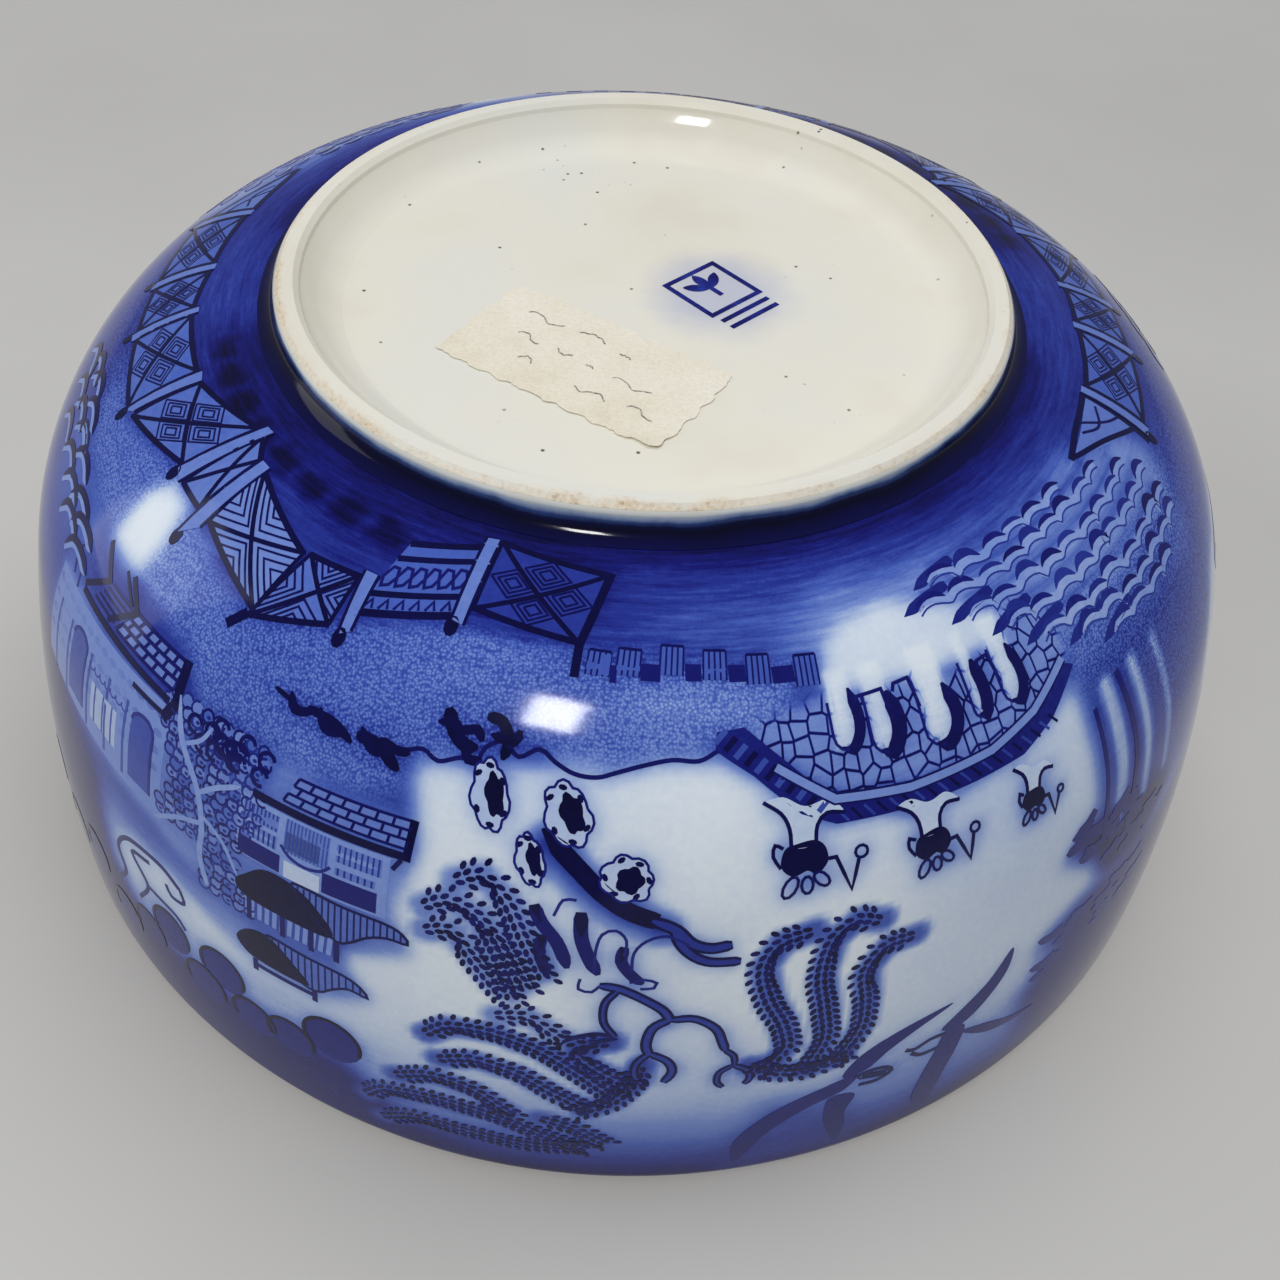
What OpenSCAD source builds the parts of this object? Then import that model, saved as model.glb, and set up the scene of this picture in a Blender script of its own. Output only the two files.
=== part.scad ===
// Round serving bowl of glazed earthenware, mouth down on its lip, foot ring up.
// Millimetres. Z is the bowl's axis, and z = 0 is the plane that the lip stands on.
// The clay and each coat on it share the same edges, so they meet face to face.

/* [Wall] */
// Diameter over the glaze, just above the lip
bowl_d = 228.6; // [190:0.2:275]
// Height from the lip to the ground edge of the foot
bowl_h = 98; // [82:0.5:118]
// Thickness of the wall with both coats of glaze, and of the round lip
wall_t = 4.6; // [3.6:0.1:6]
// Radius of the long, nearly straight curve of the belly
belly_r = 219; // [182:1:265]
// Degrees that the wall already leans in at the lip
lip_lean = 1.1; // [0.5:0.1:2]
// Degrees of slope left on the crown where it meets the foot
crown_slope = 4.8; // [3:0.1:8]

/* [Foot ring] */
// Diameter over the glazed side of the foot ring
foot_d = 121.3; // [101:0.1:146]
// Height of the ground edge above the crown of the bowl
foot_h = 4.9; // [4.6:0.1:6]
// Width of the ground edge that the bowl rests on in use
ground_w = 2.2; // [1.5:0.1:3]
// Drop and width of the worn slope on each side of the ground edge
worn_w = 0.8; // [0.5:0.1:1.2]
// Radius of the glaze pooled in the corner outside the foot
pool_r = 3.2; // [2.4:0.1:3.6]

/* [Base] */
// Depth of the flat base below the ground edge
recess_depth = 6.5; // [6:0.1:7.8]
// Width of the cove from the worn edge in to the flat base
cove_w = 7; // [6:0.1:9]
// Thickness of the base with both coats of glaze
base_t = 4.8; // [3.6:0.1:6]

/* [Inside] */
// Distance from the foot's glazed side in to the edge of the flat floor inside
floor_in = 0.6; // [0:0.1:6]

/* [Glaze] */
// Thickness of the coat on the wall, inside and out
glaze_t = 0.35; // [0.25:0.05:0.5]
// Thickness of the clear coat on the base
base_glaze_t = 0.3; // [0.2:0.05:0.45]
// Distance over which each coat thins to nothing at its edge
thin_run = 5; // [3:0.5:8]

/* [Paper label] */
// Length of the label
label_w = 42.5; // [36:0.5:50]
// Width of the label
label_h = 21.8; // [18:0.2:25]
// Thickness of the paper
paper_t = 0.15; // [0.1:0.01:0.2]
// Thickness of the gum under the paper
gum_t = 0.08; // [0.05:0.01:0.12]
// Margin of paper past the gum
gum_inset = 0.8; // [0.5:0.1:1.5]
// Gap from the label's outer corners to the cove
label_gap = 10; // [6:0.5:12]
// Direction of the label from the middle of the base, in degrees
label_dir = -114; // [-180:1:180]
// Degrees that the label sits askew
label_skew = -4; // [-6:1:6]

/* [Maker's mark] */
// Half diagonal of the printed diamond
mark_r = 8.6; // [7:0.1:9.5]
// Width of the printed lines
mark_line = 0.9; // [0.6:0.1:1.2]
// Thickness of the print
mark_t = 0.1; // [0.06:0.01:0.15]
// Distance from the label's inner edge to the middle of the mark
mark_to_label = 18.8; // [17:0.1:21]
// Distance of the mark to one side of the label's centre line
mark_side = 9.2; // [0:0.1:12]
// Turn of the mark against the label, in degrees
mark_turn = 24; // [-180:1:180]
// Length of the leaves of the sprig
leaf_l = 4.6; // [3.8:0.1:5.2]
// Length of the two bars
bar_l = 11; // [9:0.1:13]
// Distance between the bars
bar_gap = 2.2; // [1.6:0.1:3]

/* [Hidden] */
$fn = 144;
arc_steps = 28;              // straight steps along each long arc
small_steps = 8;             // straight steps along each small arc

bowl_r = bowl_d / 2;
foot_r = foot_d / 2;
lip_r = wall_t / 2;

// A profile point is [distance from the axis, height]. A wall curve starts upwards at 90 degrees
// and turns inwards to 180. It is two arcs that share a tangent: the first radius is given, and
// the second is the one that lands on the end point at the end angle.
function on_arc(c, r, a) = [c[0] + r * sin(a), c[1] - r * cos(a)];
function first_centre(p, a, r) = [p[0] - r * sin(a), p[1] + r * cos(a)];
function second_radius(w, n, r) = (w * w - r * r) / (2 * (w * n - r));
function second_centre(q, n, r) = q - r * n;
function join_angle(c1, c2) = 180 - atan2(c2[0] - c1[0], c2[1] - c1[1]);
// [first centre, first radius, second centre, second radius, start, join and end angles]
function wall_curve(p, a, q, b, r) =
    let (n = [sin(b), -cos(b)],
         c1 = first_centre(p, a, r),
         r2 = second_radius(q - c1, n, r),
         c2 = second_centre(q, n, r2))
    [c1, r, c2, r2, a, join_angle(c1, c2), b];
// Points of a wall curve, moved in from its face by t, from the angle a onwards
function wall_points(k, t, a) =
    [for (i = [0:arc_steps]) on_arc(k[0], k[1] - t, a + (k[5] - a) * i / arc_steps),
     for (i = [1:arc_steps]) on_arc(k[2], k[3] - t, k[5] + (k[6] - k[5]) * i / arc_steps)];
// The same curve read from its far end
function backwards(p) = [for (i = [len(p) - 1:-1:0]) p[i]];

start_a = 90 + lip_lean;
crown_a = 180 - crown_slope;
thin_a = thin_run / belly_r * 180 / PI;  // angle along the belly that a coat thins over

// Foot: the pooled corner runs from the crown to the upright side of the ring
crown_z = bowl_h - foot_h;
pool_z = crown_z + pool_r * cos(crown_slope);
pool_out_r = foot_r + pool_r * (1 - sin(crown_slope));
outer_curve = wall_curve([bowl_r, lip_r], start_a, [pool_out_r, crown_z], crown_a, belly_r);
body_outside = wall_points(outer_curve, glaze_t, start_a + thin_a);
seat = body_outside[len(body_outside) - 1];
seat_z = seat[1];            // the ring is luted on to the clay at this height
clay_foot_r = foot_r - glaze_t;
worn_z = bowl_h - worn_w;
ground_out_r = clay_foot_r - worn_w;
ground_in_r = ground_out_r - ground_w;
worn_in_r = ground_in_r - worn_w;

// Base: an arc joins the flat to the worn edge of the ring
flat_r = worn_in_r - cove_w;
flat_z = bowl_h - recess_depth;
cove_rise = worn_z - flat_z;
cove_r = (cove_w * cove_w + cove_rise * cove_rise) / (2 * cove_rise);
cove_c = [flat_r, flat_z + cove_r];
clay_cove_r = cove_r + base_glaze_t;
clay_flat_z = flat_z - base_glaze_t;
top_a = atan2(cove_w, cove_r - cove_rise);                   // where the cove meets the worn edge
seat_a = acos((cove_c[1] - seat_z) / clay_cove_r);           // where it passes the luted joint
clay_top_a = top_a - thin_run / cove_r * 180 / PI / 2;       // where the clear coat starts to thin
function cove_points(r, a, b) =
    [for (i = [0:small_steps]) on_arc(cove_c, r, a + (b - a) * i / small_steps)];

// Inside
floor_r = foot_r - floor_in;
floor_z = flat_z - base_t;
inner_curve = wall_curve([bowl_r - wall_t, lip_r], start_a, [floor_r, floor_z], 180,
                         belly_r - wall_t);
body_inside = wall_points(inner_curve, -glaze_t, start_a + thin_a);
lip_c = [bowl_r - lip_r, lip_r];
function lip_points() =
    [for (i = [0:2 * small_steps])
        let (a = 90 * i / small_steps) lip_c - lip_r * [cos(a), sin(a)]];

// Label and mark share one frame: x away from the middle of the base, y along the label
label_reach = flat_r - label_gap;
label_x = sqrt(label_reach * label_reach - label_w * label_w / 4) - label_h / 2;
mark_x = label_x - label_h / 2 - mark_to_label;
// Torn outline as shares of the label's length and width, anticlockwise from one corner
torn = [[-0.5, -0.46], [-0.3, -0.5], [-0.08, -0.48], [0.16, -0.5], [0.4, -0.47], [0.46, -0.5],
        [0.5, -0.3], [0.48, -0.05], [0.5, 0.22], [0.47, 0.5], [0.3, 0.47], [0.05, 0.5],
        [-0.2, 0.48], [-0.42, 0.5], [-0.5, 0.42], [-0.48, 0.12], [-0.5, -0.15]];
LEAF_TURNS = [-48, 0, 48];   // the three leaves of the sprig

module turned(points) { rotate_extrude() polygon(points); }

// Jiggered clay: wall, shoulder and base in one shell
module bowl_body() {
    color("wheat") turned(concat(
        lip_points(), body_outside,
        [[cove_c[0] + clay_cove_r * sin(seat_a), seat_z]],
        backwards(cove_points(clay_cove_r, 0, seat_a)),
        [[0, clay_flat_z], [0, floor_z + glaze_t]],
        backwards(body_inside)));
}

// Turned ring luted on to the body, with a ground edge
module foot_ring() {
    color("cornsilk") turned(concat(
        [[clay_foot_r, seat_z], [clay_foot_r, worn_z], [ground_out_r, bowl_h],
         [ground_in_r, bowl_h], [worn_in_r, worn_z]],
        backwards(cove_points(clay_cove_r, seat_a, clay_top_a))));
}

// Printed blue coat on the outside of the wall
module outer_glaze() {
    color("royalblue") turned(concat(
        [[bowl_r, lip_r]], wall_points(outer_curve, 0, start_a + thin_a / small_steps),
        backwards(body_outside)));
}

// White coat on the inside of the wall and the floor
module inner_glaze() {
    color("ghostwhite") turned(concat(
        [[bowl_r - wall_t, lip_r]], body_inside, [[0, floor_z + glaze_t], [0, floor_z]],
        backwards(wall_points(inner_curve, 0, start_a + thin_a / small_steps))));
}

// Dark coat on the side of the foot, pooled in its corner
module foot_glaze() {
    pool_c = [foot_r + pool_r, pool_z];
    color("midnightblue") turned(concat(
        [seat, [clay_foot_r, seat_z], [clay_foot_r, worn_z], [foot_r, worn_z - worn_w / 2]],
        [for (i = [0:small_steps])
            on_arc(pool_c, pool_r, -90 + (90 - crown_slope) * i / small_steps)]));
}

// Clear coat over the flat base and the cove
module base_glaze() {
    color("ivory") turned(concat(
        [[0, clay_flat_z]], cove_points(clay_cove_r, 0, seat_a),
        cove_points(clay_cove_r, seat_a, clay_top_a),
        backwards(cove_points(cove_r, 0, top_a)), [[0, flat_z]]));
}

module on_base(x, y, z) { rotate(label_dir) translate([x, y, z]) children(); }

module leaf(l) {
    bend_r = l * 0.7;
    bend_x = sqrt(bend_r * bend_r - l * l / 4);
    translate([0, l / 2]) intersection() {
        translate([bend_x, 0]) circle(bend_r);
        translate([-bend_x, 0]) circle(bend_r);
    }
}

// Plain diamond with a three-leaf sprig, and two bars beside one of its sides
module maker_mark() {
    color("navy") on_base(mark_x, mark_side, flat_z) rotate(mark_turn) linear_extrude(mark_t) {
        difference() {
            circle(mark_r, $fn = 4);
            circle(mark_r - mark_line * sqrt(2), $fn = 4);
        }
        rotate(135) {
            for (turn = LEAF_TURNS) rotate(turn) translate([0, mark_line / 2]) leaf(leaf_l);
            translate([-mark_line / 2, -leaf_l / 2]) square([mark_line, leaf_l]);
        }
        rotate(45) for (i = [1:2])
            translate([mark_r / sqrt(2) + i * bar_gap - mark_line, -bar_l / 2])
                square([mark_line, bar_l]);
    }
}

module torn_paper(w, h) { polygon([for (p = torn) [p[0] * w, p[1] * h]]); }

module on_label(z) { on_base(label_x, 0, z) rotate(90 + label_skew) children(); }

// Dried gum that holds the label
module label_gum() {
    color("tan") on_label(flat_z)
        linear_extrude(gum_t) torn_paper(label_w - 2 * gum_inset, label_h - 2 * gum_inset);
}

// Torn price label
module paper_label() {
    color("beige") on_label(flat_z + gum_t) linear_extrude(paper_t) torn_paper(label_w, label_h);
}

bowl_body();
foot_ring();
outer_glaze();
inner_glaze();
foot_glaze();
base_glaze();
maker_mark();
label_gum();
paper_label();
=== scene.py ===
# Blue printed serving bowl, mouth down: glaze coats, printed scene, foot, base, stamp and label.
# The printed scene is drawn in art coordinates: an angle in degrees round the wall, 0 at the
# front and growing to the right, and a height in millimetres measured up along the wall's
# outline from the lip. Sizes are millimetres until a mesh is made. Ink and wash strengths run
# from 0, bare glaze, to 1, the darkest blue. Layers of ink lie one over another.
import math
import random
from functools import partial

import bmesh
import bpy
import numpy as np
from mathutils import Matrix, Vector


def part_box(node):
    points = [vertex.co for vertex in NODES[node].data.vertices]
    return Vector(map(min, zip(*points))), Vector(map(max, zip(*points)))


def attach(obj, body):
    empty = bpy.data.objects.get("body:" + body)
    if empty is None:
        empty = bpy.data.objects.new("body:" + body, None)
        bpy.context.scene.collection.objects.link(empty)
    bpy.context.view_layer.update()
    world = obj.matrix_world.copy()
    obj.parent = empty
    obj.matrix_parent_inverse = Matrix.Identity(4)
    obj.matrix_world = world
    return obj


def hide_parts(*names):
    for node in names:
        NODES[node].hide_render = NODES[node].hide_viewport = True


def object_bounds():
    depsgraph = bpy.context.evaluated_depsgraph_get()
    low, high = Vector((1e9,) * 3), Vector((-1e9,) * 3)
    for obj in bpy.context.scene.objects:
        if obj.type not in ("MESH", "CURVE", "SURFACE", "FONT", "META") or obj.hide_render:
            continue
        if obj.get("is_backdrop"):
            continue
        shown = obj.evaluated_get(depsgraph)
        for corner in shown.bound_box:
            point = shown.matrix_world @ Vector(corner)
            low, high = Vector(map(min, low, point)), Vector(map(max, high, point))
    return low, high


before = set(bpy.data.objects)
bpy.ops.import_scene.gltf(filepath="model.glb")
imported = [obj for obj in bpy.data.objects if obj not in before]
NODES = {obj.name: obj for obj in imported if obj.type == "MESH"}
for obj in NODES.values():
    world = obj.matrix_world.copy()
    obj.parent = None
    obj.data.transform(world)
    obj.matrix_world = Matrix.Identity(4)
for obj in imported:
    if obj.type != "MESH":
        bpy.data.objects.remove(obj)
CAD_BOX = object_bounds()
MM = 0.001

COLUMNS = 640             # steps round the printed coat
ROW_STEP = 1.1            # step up a coat
COAT = 0.22               # thickness shown for a coat
FOOT_COAT = 0.24          # the same for the foot's side and for the base
BASE_COAT = 0.2
FOOT_SINK = 0.04          # how far their faces lie under the CAD's
BASE_SINK = 0.02
LIP_CLEAR = 0.36          # how far the clay stays under the round of the lip
SINK = 0.12               # a coat's face lies this far under the CAD face, to leave room for ink
INK_LIFT = 0.02           # first layer of ink above the glaze
LAYER_STEP = 0.016        # each further layer, within which no two shapes lie level
INK_UNDER = -0.08         # underside of every ink shape, inside the glaze
REPEATS = (0, 180)        # the printed scene runs twice round the bowl
SHARP = 50                # degrees past which an edge stays sharp
DEGREE = 2.0              # millimetres to a degree at the belly, for distances in the art
SCENE_LEFT = -80          # the angles between which the printed scene is drawn
SCENE_RIGHT = 100
ABOVE = 119               # heights past the two ends of the printed coat
BELOW = -10
CURVE_STEP = 0.9          # steps along curved and straight lines, strands and filled outlines
STRAIGHT_STEP = 2.6
STRAND_STEP = 1.2
OUTLINE_STEP = 0.6
GRAIN = 3.0               # filled shapes are cut into cells of this size, to follow the wall
NUDGE = 0.013             # keeps those cuts off the corners of the shapes
TINY = 1e-6


# ------------------------------------------------------------------ outlines taken from the CAD

def turned_face(node, keep, order):
    """Corners (r, z) of the faces of a turned node whose normal (nr, nz) passes keep, in order."""
    mesh = NODES[node].data
    corners = set()
    for face in mesh.polygons:
        reach = math.hypot(face.center.x, face.center.y)
        nr = (face.normal.x * face.center.x + face.normal.y * face.center.y) / max(reach, TINY)
        if keep(nr, face.normal.z):
            for index in face.vertices:
                v = mesh.vertices[index].co
                corners.add((round(math.hypot(v.x, v.y) / MM, 3), round(v.z / MM, 3)))
    path = []
    for corner in sorted(corners, key=order):
        if not path or math.dist(corner, path[-1]) > 0.05:
            path.append(corner)
    return path


def spline(before, a, b, after, t):
    """The place at share t of the way from a to b on a curve through all four."""
    return 0.5 * (2 * a + (b - before) * t + (2 * before - 5 * a + 4 * b - after) * t ** 2
                  + (3 * a - before - 3 * b + after) * t ** 3)


def closed_curve(points, step):
    """A smooth closed outline through the points, in steps of about step."""
    points = np.array(points, float)
    out = []
    for i in range(len(points)):
        before, a, b, after = (points[(i + k) % len(points)] for k in (-1, 0, 1, 2))
        steps = max(1, int(round(np.linalg.norm(b - a) / step)))
        out += [spline(before, a, b, after, k / steps) for k in range(steps)]
    return np.array(out)


def rounded(points, step, sharp=()):
    """A smooth path through the points, in steps of about step, with corners kept at sharp."""
    points = np.array(points, float)
    out = [points[0]]
    for i in range(len(points) - 1):
        a, b = points[i], points[i + 1]
        before = a - (b - a) if i == 0 or i in sharp else points[i - 1]
        last = i + 2 >= len(points) or i + 1 in sharp
        after = b + (b - a) if last else points[i + 2]
        steps = max(1, int(round(np.linalg.norm(b - a) / step)))
        for k in range(1, steps + 1):
            out.append(spline(before, a, b, after, k / steps))
    return np.array(out)


def sideways(path):
    """Unit normals to the left of a path."""
    along = np.gradient(path, axis=0)
    along /= np.linalg.norm(along, axis=1)[:, None]
    return np.stack([-along[:, 1], along[:, 0]], axis=1)


def round_centre(corner):
    return math.atan2(corner[1], corner[0])


outside = turned_face("outer_glaze", lambda nr, nz: nr + nz > 0, round_centre)
inside = turned_face("inner_glaze", lambda nr, nz: nr + nz < 0, round_centre)
foot_side = turned_face("foot_glaze", lambda nr, nz: nr + nz > 0.3, lambda c: c[1])
foot_side = [corner for corner in foot_side if corner[1] > outside[-1][1] - 0.01]
inside.append((0, inside[-1][1]))
base_face = turned_face("base_glaze", lambda nr, nz: nz > 0.02, lambda c: c[0])
base_face.insert(0, (0, base_face[0][1]))
foot_out, foot_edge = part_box("foot_ring")[1][0] / MM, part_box("foot_ring")[1][2] / MM
lip_mid = (outside[0][0] + inside[0][0]) / 2
lip_r = (outside[0][0] - inside[0][0]) / 2


def lip_arc(start, end):
    """Ten points round the lip, from one angle to another, 0 outwards and -90 straight down."""
    turns = np.radians(np.linspace(start, end, 10))
    return [(lip_mid + (lip_r - SINK) * math.cos(t), lip_r + lip_r * math.sin(t)) for t in turns]


# ------------------------------------------------------------------------- meshes and placing

def new_object(name, data):
    """An object in the scene."""
    made = bpy.data.objects.new(name, data)
    bpy.context.scene.collection.objects.link(made)
    return made


def new_piece(name, points, faces, material, slot, *replaced):
    """A finished piece at the origin that rides on the bowl."""
    mesh = bpy.data.meshes.new(name)
    mesh.from_pydata([tuple(p) for p in points], [], faces)
    mesh.validate()
    piece = new_object(name, mesh)
    mesh.materials.append(material)
    mesh.polygons.foreach_set("use_smooth", [True] * len(mesh.polygons))
    mesh.set_sharp_from_angle(angle=math.radians(SHARP))
    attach(piece, "root")
    if replaced:
        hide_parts(*replaced)
    return piece


def turn(loop, columns=COLUMNS):
    """Points (metres) and faces of a closed loop, or of a path that ends on the axis, turned."""
    points, faces, rows = [], [], []
    for r, z in loop:
        if r < 0.01:
            rows.append([len(points)] * columns)
            points.append((0, 0, z * MM))
            continue
        rows.append(list(range(len(points), len(points) + columns)))
        for k in range(columns):
            a = 2 * math.pi * k / columns - math.pi
            points.append((r * math.sin(a) * MM, -r * math.cos(a) * MM, z * MM))
    on_axis = loop[0][0] < 0.01 and loop[-1][0] < 0.01
    for i in range(len(rows) - (1 if on_axis else 0)):
        low, high = rows[i], rows[(i + 1) % len(rows)]
        for k in range(columns):
            ring = [low[k], low[(k + 1) % columns], high[(k + 1) % columns], high[k]]
            ring = [p for n, p in enumerate(ring) if p not in ring[:n]]
            if len(ring) > 2:
                faces.append(ring)
    return points, faces


def pressed(path, depth):
    """A path moved to its left by depth."""
    return path + sideways(path) * depth


def coat_loop(face, thickness, hidden_step=6):
    """A coat as a closed loop: its face, then its hidden side, which has fewer corners."""
    hidden = pressed(face, thickness)
    keep = list(range(0, len(face) - 1, hidden_step)) + [len(face) - 1]
    return np.concatenate([face, hidden[keep][::-1]])


# Art coordinates on the wall: arrays along its outline
wall_face = pressed(rounded(outside, ROW_STEP), SINK)
WALL_AT = outside[0][1] + np.concatenate(
    [[0], np.cumsum(np.linalg.norm(np.diff(wall_face, axis=0), axis=1))])
WALL_R, WALL_Z = wall_face[:, 0], wall_face[:, 1]
WALL_OUT = -sideways(wall_face)
WALL_TOP = WALL_AT[-1]


def radius_at(height):
    return np.interp(height, WALL_AT, WALL_R)


def on_wall(angle, height, lift=0.0):
    """Points in metres at art coordinates, lifted off the glaze by lift."""
    height = np.asarray(height, float)
    r = radius_at(height) + lift * np.interp(height, WALL_AT, WALL_OUT[:, 0])
    z = np.interp(height, WALL_AT, WALL_Z) + lift * np.interp(height, WALL_AT, WALL_OUT[:, 1])
    a = np.radians(np.asarray(angle, float))
    return np.stack([r * np.sin(a), -r * np.cos(a), z], axis=-1) * MM


# ------------------------------------------------------------------ ink: thin shapes on the wall

class Print:
    """Thin closed shapes of ink on the wall, which together become one piece."""
    every = []

    def __init__(self, name, flow=1.0):
        self.name = name
        self.flow = flow                     # how strongly its blue flows out into the glaze
        self.plan, self.lift, self.ink = [], [], []         # for each point
        self.faces = []
        self.cells = []                      # (angle, height, area, ink), for the blue flow
        self.count = 0
        Print.every.append(self)

    def shape(self, plan, cells, rim, ink, layer):
        """Adds a flat shape: its plan, its cells and its rim run anticlockwise seen from outside."""
        plan = np.asarray(plan, float)
        size = len(plan)
        self.count += 1
        top = INK_LIFT + LAYER_STEP * (layer + (self.count % 19) / 20)
        for turned in REPEATS:
            first = len(self.plan)
            moved = plan + (turned, 0)
            self.plan += [tuple(p) for p in moved] * 2
            self.lift += [top] * size + [INK_UNDER] * size
            self.ink += [ink] * (2 * size)
            self.faces += [[first + i for i in cell] for cell in cells]
            self.faces += [[first + size + i for i in reversed(cell)] for cell in cells]
            self.faces += [[first + i, first + size + i, first + size + j, first + j]
                           for i, j in rim]
        for cell in cells:
            corners = plan[list(cell)]
            middle = corners.mean(axis=0)
            x = corners[:, 0] * math.radians(1) * radius_at(middle[1])
            y = corners[:, 1]
            area = 0.5 * abs(np.dot(x, np.roll(y, 1)) - np.dot(y, np.roll(x, 1)))
            self.cells.append((middle[0], middle[1], area, ink))

    def stroke(self, path, width, ink=0.95, layer=2, smooth=True, ends=(1.0, 1.0)):
        """A line of ink along a path. ends are shares of the width left at its two ends."""
        flat = np.array(path, float) * (DEGREE, 1)
        curved = smooth and len(path) > 2
        flat = rounded(flat, CURVE_STEP) if curved else rounded(flat, STRAIGHT_STEP, range(len(path)))
        path = flat / (DEGREE, 1)
        per_degree = np.radians(1) * radius_at(path[:, 1])
        steps = np.diff(path, axis=0)
        steps[:, 0] *= (per_degree[1:] + per_degree[:-1]) / 2
        steps /= np.maximum(np.linalg.norm(steps, axis=1), TINY)[:, None]
        into = np.concatenate([steps[:1], steps])
        away = np.concatenate([steps, steps[-1:]])
        left = np.stack([-(into[:, 1] + away[:, 1]), into[:, 0] + away[:, 0]], axis=1)
        left /= np.maximum(np.linalg.norm(left, axis=1), 0.3)[:, None]
        mitre = np.maximum(np.sum(left * np.stack([-away[:, 1], away[:, 0]], axis=1), axis=1), 0.6)
        t = np.linspace(0, 1, len(path))
        taper = np.minimum(1, np.minimum(ends[0] + t * 5, ends[1] + (1 - t) * 5))
        half = (width / 2 * taper / mitre)[:, None]
        offset = left * half / np.stack([per_degree, np.ones(len(path))], axis=1)
        n = len(path)
        plan = np.concatenate([path - offset, path + offset])
        plan[:, 1] = np.clip(plan[:, 1], WALL_AT[0], WALL_TOP)
        cells = [(k, k + 1, n + k + 1, n + k) for k in range(n - 1)]
        rim = ([(k, k + 1) for k in range(n - 1)] + [(n - 1, 2 * n - 1)]
               + [(n + k + 1, n + k) for k in range(n - 1)] + [(n, 0)])
        self.shape(plan, cells, rim, ink, layer)

    def bar(self, path, width, ink, layer):
        """A line of ink with sharp corners."""
        self.stroke(path, width, ink, layer, smooth=False)

    def fill(self, outline, ink, layer, smooth=False):
        """A filled outline, cut into cells that follow the wall's curve."""
        outline = np.array(outline, float)
        if smooth:
            outline = closed_curve(outline * (DEGREE, 1), OUTLINE_STEP) / (DEGREE, 1)
        outline[:, 1] = np.clip(outline[:, 1], WALL_AT[0], WALL_TOP)
        bm = bmesh.new()
        bm.faces.new([bm.verts.new((a * DEGREE, h, 0)) for a, h in outline])
        bmesh.ops.recalc_face_normals(bm, faces=bm.faces)
        low, high = outline.min(axis=0) * (DEGREE, 1), outline.max(axis=0) * (DEGREE, 1)
        for axis in (0, 1):
            for k in range(math.ceil(low[axis] / GRAIN), math.floor(high[axis] / GRAIN) + 1):
                at, facing = [0, 0, 0], [0, 0, 0]
                at[axis], facing[axis] = k * GRAIN + NUDGE, 1
                bmesh.ops.bisect_plane(bm, geom=bm.verts[:] + bm.edges[:] + bm.faces[:],
                                       plane_co=at, plane_no=facing, dist=1e-4)
        for face in bm.faces:
            face.normal_update()
            if face.normal.z < 0:
                face.normal_flip()
        bm.verts.index_update()
        plan = [(v.co.x / DEGREE, v.co.y) for v in bm.verts]
        cells = [tuple(v.index for v in face.verts) for face in bm.faces]
        rim = [(loop.vert.index, loop.link_loop_next.vert.index)
               for face in bm.faces for loop in face.loops if loop.edge.is_boundary]
        bm.free()
        self.shape(plan, cells, rim, ink, layer)

    def spot(self, angle, height, wide, tall, tilt=0, *, ink, layer, sides=10):
        """A filled oval of half sizes wide and tall."""
        plan = local(angle, height, tilt, oval(wide, tall, sides))
        rim = [(k, (k + 1) % sides) for k in range(sides)]
        self.shape(plan, [tuple(range(sides))], rim, ink, layer)

    def ring(self, angle, height, radius, width, ink, layer, sides, start=0, sweep=360):
        """A circle or an arc of ink."""
        turns = [math.radians(start + sweep * k / sides) for k in range(sides + 1)]
        arc = [(radius * math.cos(t), radius * math.sin(t)) for t in turns]
        self.bar(local(angle, height, 0, arc), width, ink, layer)

    def piece(self):
        """The shapes as a finished piece, with the strength of the ink on each point."""
        plan = np.array(self.plan)
        points = on_wall(plan[:, 0], plan[:, 1], np.array(self.lift))
        made = new_piece(self.name, points, self.faces, PRINT_INK, "blue_print")
        strengths = made.data.attributes.new("ink", "FLOAT", "POINT")
        strengths.data.foreach_set("value", self.ink)


def local(angle, height, tilt, offsets):
    """Art coordinates of offsets in millimetres from a place on the wall, turned by tilt."""
    c, s = math.cos(math.radians(tilt)), math.sin(math.radians(tilt))
    per_degree = math.radians(1) * float(radius_at(height))
    return [(angle + (x * c - y * s) / per_degree, height + x * s + y * c) for x, y in offsets]


def oval(wide, tall, sides):
    """Offsets round an oval of half sizes wide and tall."""
    turns = [2 * math.pi * k / sides for k in range(sides)]
    return [(wide * math.cos(t), tall * math.sin(t)) for t in turns]


def box_of(left, right, low, high):
    return [(left, low), (right, low), (right, high), (left, high)]


def band(low, high):
    """An outline right across the scene."""
    return box_of(SCENE_LEFT, SCENE_RIGHT, low, high)


# ----------------------------------------------------------------------------------- materials

def srgb(red, green, blue):
    """A colour given 0 to 255, as the linear values that a shader takes."""
    shares = [((c / 255 + 0.055) / 1.055) ** 2.4 if c > 10 else c / 3295 for c in (red, green, blue)]
    return (*shares, 1.0)


def feed(links, node, inputs):
    """Links or sets a node's inputs, from {input: socket or value}."""
    for key, value in inputs.items():
        if isinstance(value, bpy.types.NodeSocket):
            links.new(value, node.inputs[key])
        else:
            node.inputs[key].default_value = value


def builder(nodes, links):
    """add(kind, {input: socket or value}, **settings) makes a node and feeds it."""
    def add(kind, inputs=(), **settings):
        node = nodes.new(kind)
        for key, value in settings.items():
            setattr(node, key, value)
        feed(links, node, dict(inputs))
        return node
    return add


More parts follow.
